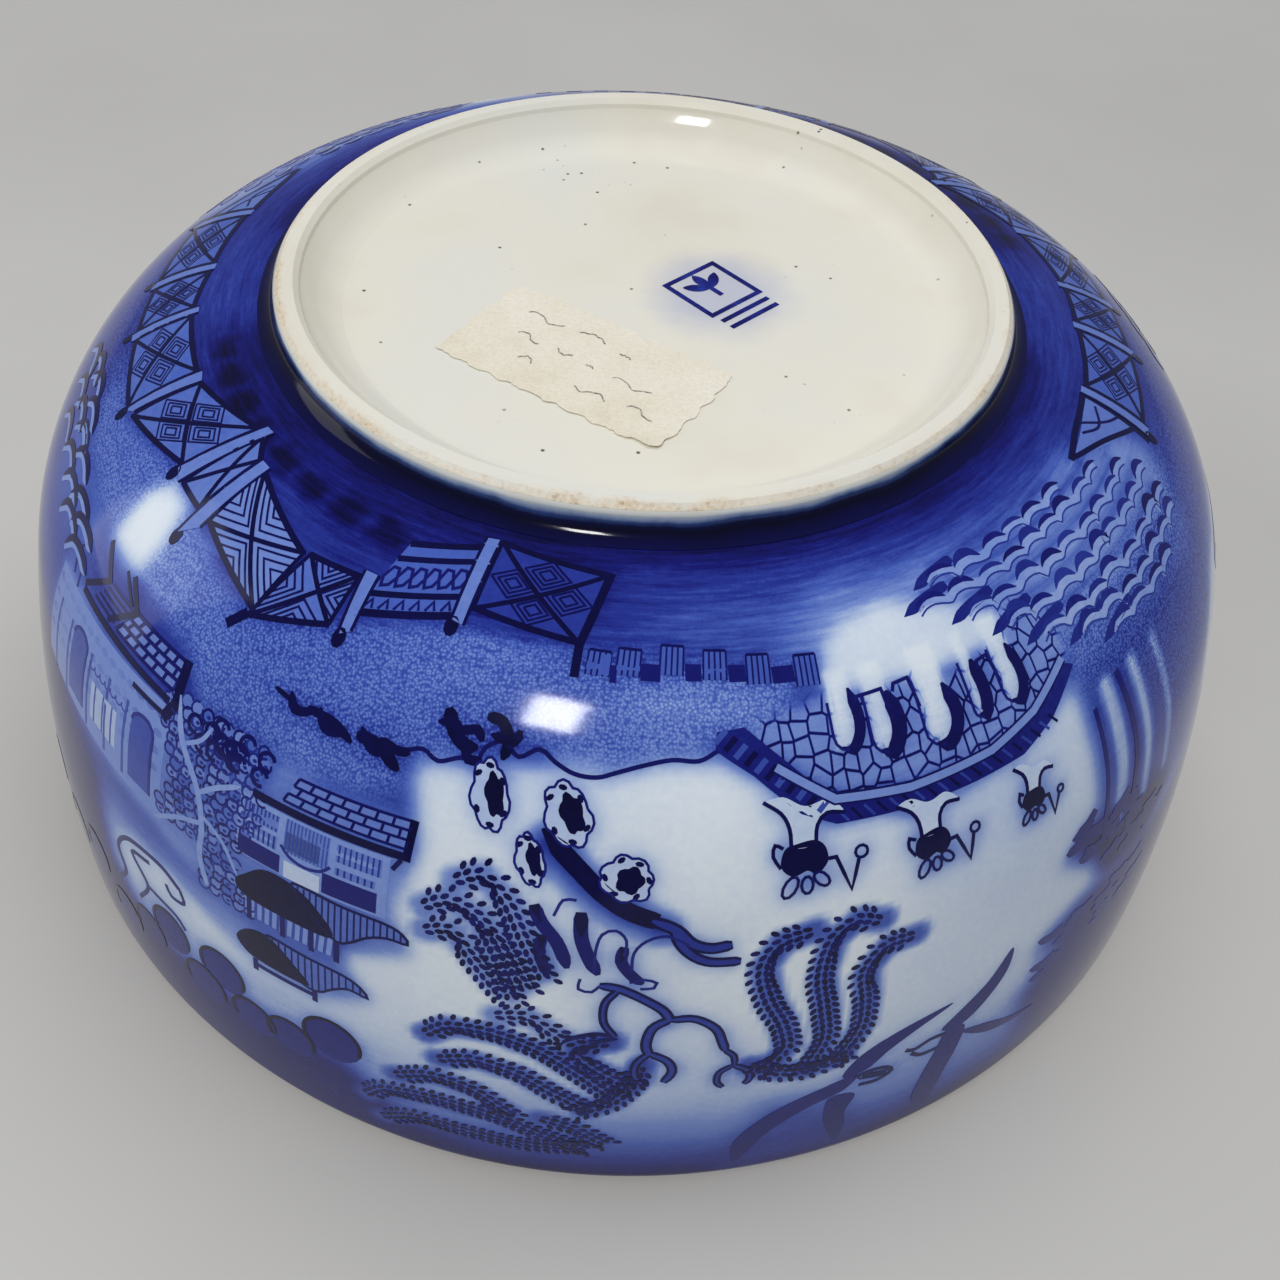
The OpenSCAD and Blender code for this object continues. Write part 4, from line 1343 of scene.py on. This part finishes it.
def ground_washes(ink, stipple, stones):
    """The stippled ground, the soft blue behind the rocks and the house, and the bridge's stone."""
    ink.paint(GROUND, 0.45, 1.0)
    stipple.paint(GROUND, 1.0, 1.0)
    ink.paint([(-36, 91), (-17, 100), (-17, 90), (-20, 84), (-36, 80)], 0.5, 2, 0.8)
    ink.paint(box_of(0, 13, 92, 97), 0.3, 2, 0.7)
    ink.paint([(-80, 88), (-58, 84), (-57, 75), (-80, 80)], 0.42, 2)
    ink.paint([(30, 106), (62, 106.4), (71, 103), (73, 95), (69, 86), (62, 82), (50, 82), (43, 88),
               (35, 98)], 0.3, 2.5)
    for (a0, h0), (a1, h1), _ in PINE_ROWS:
        ink.line([(a0 + 1, h0 + 1.7), (a1 - 2, h1 + 1.7)], 1.1, 0.66, 0.9, 0.8)
    ink.paint([(42, 90), (70, 84), (66, 79), (44, 80)], 0.5, 2)
    ink.paint([(-60, 74), (-38, 73), (-36, 76), (-26, 76), (-15.6, 74.5), (-15.6, 58), (-15, 51), (-29, 50),
               (-30, 45), (-39, 50), (-60, 56)], 0.36, 1.2)
    ink.paint(BRIDGE_FACE, 0.32, 0.7)
    stones.paint(BRIDGE_FACE, 1.0, 0.5)


def bare_places(ink, stipple, streaks, stones):
    """White left bare: the pool, the patch by the fence, the sky over the bridge and its arches, with a faint
    painted shade over the right of the pool.
    """
    ink.paint(POOL, 0.0, 1.3)
    # Painted shade: a faint blue wash over the right and lower part of the white pool, where it lies in
    # shade.
    ink.paint([(24, 78), (43, 84), (44, 44), (34, 30), (20, 30)], 0.1, 5, 0.8)
    ink.paint(PATCH, 0.0, 1.3)
    for height in (85, 87.6, 90.6, 93.6):
        ink.paint(box_of(-50, -43, height, height + 1.0), 0.16, 0.8, 0.7)
    ink.paint(SKY, 0.05, 1.0)
    for middle, half, low, _ in SLOTS:
        arch = slot_outline(middle, half * 1.05, low)
        ink.paint(arch, 0.0, 0.35)
        stones.paint(arch, 0.0, 0.35)
    for wash in (stipple, streaks):
        for bare in (POOL, PATCH, SKY):
            wash.paint(bare, 0.0, 1.2)


def dark_places(ink):
    """The blue gathers towards the lip, and lies dark to the left and right of the pool. The three faintest
    bands, which end at 44, 34 and 26 mm, are painted shade: a faint blue over the lower wall that deepens
    downwards.
    """
    # Painted shade: the bands ending at 44, 34 and 26 mm darken the lower white step by step; the stronger
    # bands below 20 mm are the blue rim itself.
    for high, value, blur in ((44, 0.07, 5), (34, 0.14, 4), (26, 0.24, 3), (20, 0.4, 3), (14, 0.6, 2.6),
                              (9, 0.76, 2.2), (5, 0.88, 1.4), (2.8, 0.95, 0.8)):
        ink.paint(band(BELOW, high), value, blur, 0.8)
    ink.paint([(-88, 60), (-80, 70), (-62, 60), (-48, 48), (-47, 30), (-43, 22), (-20, 21), (-16, 10),
               (-10, 4), (-10, BELOW), (-88, BELOW)], 0.84, 2.4)
    ink.paint([(9, 2), (13, 24), (18, 20), (22, 4)], 0.66, 2.5, 0.7)
    ink.paint([(42.6, 82), (60, 82), (72, 76), (104, 76), (104, 50), (60, 56), (44, 58)], 0.62, 2)
    ink.paint([(39, 54), (43, 58), (52, 53), (56, 48), (52, 42), (45, 41), (42, 50)], 0.88, 1.6)
    ink.paint([(36.5, 37), (41, 41), (60, 42), (76, 52), (100, 58), (108, 58), (108, BELOW), (44, BELOW),
               (37, 14), (36, 26), (40, 31)], 0.8, 2.4)
    ink.paint(box_of(80, 106, 70, ABOVE), 0.66, 3, 0.8)


def far_side(ink, stipple):
    """The lake between the two scenes, the stippled shore above it and the pale rails."""
    ink.paint(LAKE, 0.06, 1.6)
    shore = [(43, 92), (76, 92), (100, 98), (100, 70), (70, 70), (69, 56), (56, 56), (50, 78), (43, 80)]
    stipple.paint(shore, 1, 2)
    stipple.paint(LAKE, 0.0, 2)
    for angle, wide in ((45.8, 3.2), (50, 2.4), (54, 1.4)):
        ink.line([(angle, 53), (angle + 0.3, 65), (angle, 78)], wide, 0.1, 0.7, 0.85)


def branch_shades(ink):
    """Soft bodies of the willow strands and the shade of the branch."""
    for number, strand in enumerate(STRANDS):
        ink.line(strand, 4.3, 0.38 if number in PALE_STRANDS else 0.6, 0.8, 0.9)
    ink.line([(-4.8, 75.4), (-2.2, 70.4), (0.6, 66.6), (3.6, 64)], 4.4, 0.84, 1.8, 0.75)


def flowed(ink):
    """Blue that flowed out of the printed lines, near them and, more faintly, further off."""
    spread = np.zeros(ANGLES.shape)
    last = len(WALL_AT) - 1
    for made in Print.every:
        angle, height, area, strength = np.array(made.cells).T
        row = np.clip(np.round(np.interp(height, WALL_AT, np.arange(last + 1))).astype(int), 0, last)
        strength = np.clip(strength - 0.35, 0, 1) * 1.5 * made.flow
        np.add.at(spread, (row, column_at(angle)), area * strength / (COLUMN_WIDTH[row] * ROW_STEP))
    spread = np.minimum(spread, 1.4)
    reach = np.clip(0.4 * soften(spread, 1.1) + 0.26 * soften(spread, 3.4), 0, 0.8)
    ink.value = ink.value + np.maximum(0, 0.93 - ink.value) * reach


def washes():
    """Ink, stipple, streaks and stones over the wall."""
    ink, stipple, streaks, stones = Wash(0.62), Wash(0.1), Wash(0.2), Wash(0)
    shoulder_washes(ink, streaks)
    ground_washes(ink, stipple, stones)
    bare_places(ink, stipple, streaks, stones)
    dark_places(ink)
    far_side(ink, stipple)
    branch_shades(ink)
    flowed(ink)
    return {"ink": ink, "stipple": stipple, "streaks": streaks, "stones": stones}


# ------------------------------------------------------------------------------- glaze coats

def outer_coat():
    """The printed coat from under the lip to the shoulder, with its washes as attributes."""
    lip = lip_arc(-90, 0)[:-1]
    points, faces = turn(coat_loop(np.concatenate([lip, wall_face]), COAT))
    mesh = new_piece("outer_coat", points, faces, printed_glaze(), "blue_glaze", "outer_glaze").data
    for name, wash in washes().items():
        rows = wash.at_corners()
        values = np.zeros(len(mesh.vertices))
        shown = np.concatenate([np.tile(rows[0], (len(lip), 1)), rows]).ravel()
        values[:len(shown)] = shown
        mesh.attributes.new(name, "FLOAT", "POINT").data.foreach_set("value", values)
    art_corners(mesh, np.concatenate([[p[1] for p in lip], WALL_AT]))


def art_corners(mesh, heights):
    """Art coordinates at each face corner, so that they don't tear where the turn closes."""
    corner_point = np.zeros(len(mesh.loops), int)
    mesh.loops.foreach_get("vertex_index", corner_point)
    angle = -180 + corner_point % COLUMNS * 360 / COLUMNS
    sizes = [p.loop_total for p in mesh.polygons]
    starts = [p.loop_start for p in mesh.polygons]
    first = np.repeat(np.minimum.reduceat(angle, starts), sizes)
    last = np.repeat(np.maximum.reduceat(angle, starts), sizes)
    angle = np.where((last - first > 90) & (angle < 0), angle + 360, angle)
    height = heights[np.minimum(corner_point // COLUMNS, len(heights) - 1)]
    art = np.stack([angle * DEGREE, height, np.zeros(len(angle))], axis=1)
    mesh.attributes.new("art", "FLOAT_VECTOR", "CORNER").data.foreach_set("vector", art.ravel())


def inner_coat():
    """The white inside, with a blue band near the lip."""
    bowl = pressed(rounded(inside[::-1], 2.0, sharp=(1,)), SINK)
    lip = lip_arc(-180, -90)[1:]
    points, faces = turn(coat_loop(np.concatenate([bowl, lip]), COAT), 360)
    new_piece("inner_coat", points, faces, white_glaze(), "white_glaze", "inner_glaze")


def height_wander(add, place, scale, detail, reach, low, high):
    """Height over the lip as a share of low..high, with an edge that wanders."""
    height = add("ShaderNodeSeparateXYZ", {"Vector": place}).outputs["Z"]
    return mapped(add, plus(add, height, swing(add, place, scale, detail, reach)), low, high)


def white_glaze():
    """Bluish white glaze; the blue from outside runs over the lip and a soft band lies above it."""
    material, add, shade = new_material("white inside glaze")
    at = height_wander(add, object_place(add), 60, 4, 0.004, 0.0, 0.03)
    strengths = ((0.0, 0.95), (0.06, 0.8), (0.12, 0.2), (0.2, 0.03), (0.3, 0.62), (0.42, 0.7), (0.5, 0.1),
                 (0.6, 0.0))
    ink = ramp(add, at, *[(stop, (value, value, value, 1)) for stop, value in strengths])
    glazed(add, shade, cobalt(add, ink, 0.1))
    return material


def foot_coat():
    """The dark pool of glaze round the foot, which thins to cream at the worn edge."""
    path = pressed(rounded(foot_side, 0.5), FOOT_SINK)
    points, faces = turn(coat_loop(path, FOOT_COAT, 3), 480)
    new_piece("foot_coat", points, faces, foot_glaze(), "dark_glaze", "foot_glaze")


def foot_glaze():
    material, add, shade = new_material("dark foot glaze")
    at = height_wander(add, object_place(add), 70, 5, 0.0026, outside[-1][1] * MM, foot_edge * MM)
    glazed(add, shade, ramp(
        add, at, (0.0, srgb(8, 9, 62)), (0.25, srgb(5, 5, 34)), (0.38, srgb(8, 14, 56)),
        (0.5, srgb(44, 68, 126)), (0.61, srgb(146, 166, 200)), (0.74, srgb(214, 219, 219)),
        (1.0, srgb(226, 219, 200))))
    return material


def cream(add, place):
    """Cream glaze colour: slow patches and fine dark specks."""
    patches = ramp(add, noise(add, place, 22, 4), (0.3, srgb(226, 221, 205)),
                   (0.5, srgb(233, 229, 216)), (0.72, srgb(228, 228, 222)))
    spots = mapped(add, cells(add, place, 330), 0.06, 0.13, 1.0, 0.0)
    rare = mapped(add, noise(add, place, 90, 1), 0.6, 0.64)
    return mixed(add, times(add, spots, rare), patches, srgb(96, 78, 62))


def base_coat():
    """The cream floor inside the foot."""
    path = pressed(rounded(base_face[::-1], 1.0, sharp=(len(base_face) - 2,)), BASE_SINK)
    points, faces = turn(coat_loop(path, BASE_COAT, 4), 360)
    new_piece("base_coat", points, faces, cream_glaze(), "cream_glaze", "base_glaze")


def middle_of(node):
    low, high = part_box(node)
    return [(a + b) / 2 for a, b in zip(low, high)]


def cream_glaze():
    """Cream glaze with a blue breath round the stamp."""
    material, add, shade = new_material("cream base glaze")
    place = object_place(add)
    stamp = tuple(middle_of("maker_mark"))
    away = add("ShaderNodeVectorMath", {0: place, 1: stamp}, operation="DISTANCE").outputs["Value"]
    wander = times(add, noise(add, place, 120, 3), 0.006)
    breath = mapped(add, plus(add, away, wander), 0.008, 0.019, 0.42, 0.0, interpolation_type="SMOOTHSTEP")
    glazed(add, shade, mixed(add, breath, cream(add, place), srgb(120, 142, 206)), 0.6)
    return material


def foot_rim():
    """The foot's edge: cream glaze wiped thin, with gritty clay showing along its outer side."""
    material, add, shade = new_material("worn foot rim")
    place = object_place(add)
    flat = add("ShaderNodeVectorMath", {0: place, 1: (1, 1, 0)}, operation="MULTIPLY").outputs[0]
    reach = add("ShaderNodeVectorMath", {0: flat}, operation="LENGTH").outputs["Value"]
    worn = mapped(add, plus(add, reach, swing(add, place, 160, 5, 0.0042)),
                  (foot_out - 1.5) * MM, (foot_out - 0.3) * MM)
    grit = noise(add, place, 1300, 4)
    clay = ramp(add, grit, (0.3, srgb(176, 146, 112)), (0.42, srgb(218, 198, 168)),
                (0.66, srgb(232, 224, 206)))
    chance = mapped(add, noise(add, place, 34, 3), 0.42, 0.62, 0.4, 1.0)
    height = plus(add, times(add, grit, worn), noise(add, place, 60, 3))
    shade({"Base Color": mixed(add, times(add, worn, chance), cream(add, place), clay),
           "Roughness": mapped(add, worn, 0.0, 1.0, 0.16, 0.6),
           "Normal": bumped(add, height, 0.6, 0.0002)})
    return material


def bare_clay():
    """Fired clay as it is under the coats: buff and gritty."""
    material, add, shade = new_material("bare fired clay", 0.6)
    place = object_place(add)
    patches = ramp(add, noise(add, place, 130, 5), (0.3, srgb(206, 186, 152)), (0.7, srgb(229, 219, 198)))
    shade({"Base Color": patches, "Normal": bumped(add, noise(add, place, 900, 4), 0.6, 0.0002)})
    return material


def stamp_ink():
    material, add, shade = new_material("stamp ink")
    worn = plus(add, times(add, noise(add, object_place(add), 300, 3), 0.5), 0.55)
    glazed(add, shade, cobalt(add, worn, 0.1), 0.6)
    return material


def old_paper():
    material, add, shade = new_material("old label paper", 0.75)
    place = object_place(add)
    stains = ramp(add, noise(add, place, 70, 5), (0.3, srgb(226, 217, 196)),
                  (0.48, srgb(236, 229, 212)), (0.7, srgb(240, 235, 222)))
    fibre = noise(add, place, 1600, 3)
    fibres = ramp(add, fibre, (0.3, srgb(214, 206, 190)), (0.6, srgb(255, 255, 255)))
    shade({"Base Color": mixed(add, 0.25, stains, fibres, blend_type="MULTIPLY"),
           "Normal": bumped(add, fibre, 0.5, 0.00008)})
    return material


def mottled(name, roughness, scale, detail, *stops):
    """A plain material whose colour drifts between stops."""
    material, add, shade = new_material(name, roughness)
    shade({"Base Color": ramp(add, noise(add, object_place(add), scale, detail), *stops)})
    return material


def pencil():
    return mottled("pencil", 0.5, 2600, 2, (0.35, srgb(92, 90, 92)), (0.65, srgb(190, 184, 172)))


def dried_gum():
    return mottled("dried gum", 0.35, 200, 3, (0.3, srgb(196, 172, 120)), (0.7, srgb(216, 200, 160)))


def label_frame():
    """Half sizes of the label in millimetres, and at(x, y, lift), a point over its middle in metres."""
    flat = np.array([v.co[:] for v in NODES["paper_label"].data.vertices]) / MM
    _, _, ways = np.linalg.svd(flat[:, :2] - flat[:, :2].mean(axis=0), full_matrices=False)
    along = ways[0] * np.sign(ways[0][0])
    aside = np.array([-along[1], along[0]])
    spans = flat[:, :2] @ np.stack([along, aside], axis=1)
    low, high = spans.min(axis=0), spans.max(axis=0)
    middle = along * (low[0] + high[0]) / 2 + aside * (low[1] + high[1]) / 2
    top = flat[:, 2].max()

    def at(x, y, lift):
        place = middle + along * x + aside * y
        return place[0] * MM, place[1] * MM, (top + lift) * MM
    return (high - low) / 2, at


def torn(k, last, low, high):
    """How far a point, the k-th of last, is moved out, at either end of its row."""
    if k == last:
        return low
    return -high if k == 0 else 0


def paper_label():
    """Thin paper with torn edges and a slight cockle."""
    reach, at = label_frame()
    ragged = random.Random(4)
    columns, rows = 64, 34
    tears = [[ragged.uniform(-0.28, 0.12) + 0.22 * math.sin(k * 0.9 + side) for k in range(columns + rows)]
             for side in range(4)]
    points = []
    for under in (0, 0.13):
        for j in range(rows + 1):
            for i in range(columns + 1):
                u, v = 2 * i / columns - 1, 2 * j / rows - 1
                x = u * (reach[0] - 0.4) + torn(i, columns, tears[0][j], tears[1][j])
                y = v * (reach[1] - 0.4) + torn(j, rows, tears[2][i], tears[3][i])
                corner = max(0, abs(u) + abs(v) - 1.62)
                cockle = 0.05 * math.sin(u * 5 + v * 2) * math.cos(v * 4)
                lift = 0.02 + cockle + corner * 0.9 * (u > 0) * (v < 0)
                points.append(at(x * (1 - corner * 0.05), y * (1 - corner * 0.08), lift - under))
    grid = np.arange((columns + 1) * (rows + 1)).reshape(rows + 1, columns + 1)
    faces = []
    for j in range(rows):
        for i in range(columns):
            ring = [grid[j, i], grid[j, i + 1], grid[j + 1, i + 1], grid[j + 1, i]]
            faces += [ring, [grid.size + k for k in reversed(ring)]]
    rim = [*grid[0, :-1], *grid[:-1, -1], *grid[-1, :0:-1], *grid[:0:-1, 0]]
    faces += [[b, a, grid.size + a, grid.size + b] for a, b in zip(rim, rim[1:] + rim[:1])]
    new_piece("torn_label", points, faces, old_paper(), "paper", "paper_label")


SCRIBBLES = [(-15, 5.6, 7, 1.1, 0.7), (-5, 6, 5, 0.5, 0.9), (3.4, 5, 2.2, 0.5, 0.2),
             (-13, 0, 4.4, 0.9, 0.8), (-5.4, 0.4, 3, 0.5, -0.9), (0.8, -0.6, 1.4, 0.5, 0.2),
             (6, -0.8, 7, 1.2, 0.6), (-9, -5.4, 2.6, 0.5, 1.1), (2.4, -6, 6, 1.1, -0.6),
             (11.8, -5.4, 5, 0.9, 0.8)]            # left end, height, length, waves and their reach


def pencil_marks():
    """Faded scribbles on the label: waves and dashes that spell nothing."""
    steps, half_width = 26, 0.1
    _, at = label_frame()
    points, faces = [], []
    for x0, y0, size, turns, tall in SCRIBBLES:
        path = [(x0 + size * k / steps, y0 + tall * math.sin(2 * math.pi * turns * k / steps)
                 + 0.12 * math.sin(k * 0.7)) for k in range(steps + 1)]
        first = len(points)
        for k, (x, y) in enumerate(path):
            a, b = path[max(0, k - 1)], path[min(steps, k + 1)]
            run = math.dist(a, b)
            side = (-(b[1] - a[1]) / run * half_width, (b[0] - a[0]) / run * half_width)
            for sign, lift in ((-1, 0.11), (1, 0.11), (1, -0.06), (-1, -0.06)):
                points.append(at(x + sign * side[0], y + sign * side[1], lift))
        for k in range(steps):
            a, b = first + 4 * k, first + 4 * k + 4
            faces += [[a + n, b + n, b + (n + 1) % 4, a + (n + 1) % 4] for n in range(4)]
        faces += [[first + n for n in range(4)], [first + 4 * steps + n for n in (3, 2, 1, 0)]]
    new_piece("pencil_marks", points, faces, pencil(), "paper")


def clay_bowl():
    """The clay under the coats: as the CAD has it, drawn in a little at the lip."""
    mesh = NODES["bowl_body"].data.copy()
    bm = bmesh.new()
    bm.from_mesh(mesh)
    bmesh.ops.remove_doubles(bm, verts=bm.verts, dist=1e-6)
    for vert in bm.verts:
        if vert.co.z < (lip_r + 0.2) * MM:
            reach = math.hypot(vert.co.x, vert.co.y) / MM
            x, z = reach - lip_mid, vert.co.z / MM - lip_r
            out = math.hypot(x, min(z, 0))
            shrink = max(0, out - (lip_r - LIP_CLEAR)) / max(out, 1e-6)
            vert.co.x *= (reach - x * shrink) / reach
            vert.co.y *= (reach - x * shrink) / reach
            vert.co.z -= min(z, 0) * shrink * MM
    bm.to_mesh(mesh)
    bm.free()
    piece = new_object("clay_bowl", mesh)
    mesh.materials.clear()
    mesh.materials.append(CLAY)
    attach(piece, "root")
    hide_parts("bowl_body")


def dress(node, material):
    """Gives a CAD node's own object a finish."""
    for slot in NODES[node].material_slots:
        slot.material = material


CLAY = bare_clay()
outer_coat()
inner_coat()
foot_coat()
base_coat()
clay_bowl()
paper_label()
pencil_marks()
dress("foot_ring", foot_rim())
dress("maker_mark", stamp_ink())
dress("label_gum", dried_gum())


# ----------------------------------------------------------------------- camera, light and floor

def camera():
    """A camera over the front of the bowl, tipped down and a little to one side."""
    yaw, pitch, roll = (math.radians(a) for a in (0.97, 47.77, 4.09))
    flat = math.cos(pitch)
    forward = Vector((math.sin(yaw) * flat, math.cos(yaw) * flat, -math.sin(pitch)))
    level = Vector((math.cos(yaw), -math.sin(yaw), 0))
    upward = level.cross(forward)
    right = level * math.cos(roll) + upward * math.sin(roll)
    top = upward * math.cos(roll) - level * math.sin(roll)
    lens = bpy.data.cameras.new("camera")
    lens.lens, lens.sensor_width, lens.clip_start = 37.3, 36, 0.01
    holder = new_object("camera", lens)
    turned = Matrix((right, top, -forward)).transposed().to_4x4()
    turned.translation = (0, -0.19371, 0.21819)
    holder.matrix_world = turned
    bpy.context.scene.camera = holder


def area_light(name, towards, distance, size, power, colour):
    """A soft rectangle of light that looks at the bowl from a distance."""
    light = bpy.data.lights.new(name, "AREA")
    light.shape, light.size, light.size_y = "RECTANGLE", size[0], size[1]
    light.energy, light.color = power, colour
    holder = new_object(name, light)
    way = Vector(towards).normalized()
    holder.location = way * distance
    holder.rotation_euler = way.to_track_quat("Z", "Y").to_euler()
    return holder


def studio():
    area_light("window", (-0.155, -0.51, 0.85), 1.5, (0.19, 0.27), 9, (1, 0.99, 0.97))
    sky = area_light("sky", (0.15, 0.45, 1.3), 1.8, (1.6, 1.2), 12.5, (0.95, 0.97, 1))
    sky.visible_glossy = False           # it lights the glaze softly without a reflection
    area_light("left wall", (-1, 0.1, 0.35), 1.6, (0.6, 1.2), 3.5, (1, 1, 1))
    world = bpy.data.worlds.new("studio")
    world.use_nodes = True
    bpy.context.scene.world = world
    light = {"Color": (0.86, 0.89, 0.94, 1), "Strength": 0.25}
    feed(world.node_tree.links, world.node_tree.nodes["Background"], light)


def floor():
    mesh = bpy.data.meshes.new("floor")
    mesh.from_pydata([(x, y, 0) for x, y in box_of(-3, 3, -3, 3)], [], [(0, 1, 2, 3)])
    tones = (0.3, srgb(196, 194, 190)), (0.7, srgb(204, 202, 198))
    mesh.materials.append(mottled("pale floor", 0.55, 6, 3, *tones))
    ground = new_object("floor", mesh)
    ground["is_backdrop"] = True


bpy.context.scene.view_settings.view_transform = "Standard"
camera()
studio()
floor()
[[list(corner) for corner in box] for box in (CAD_BOX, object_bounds())]
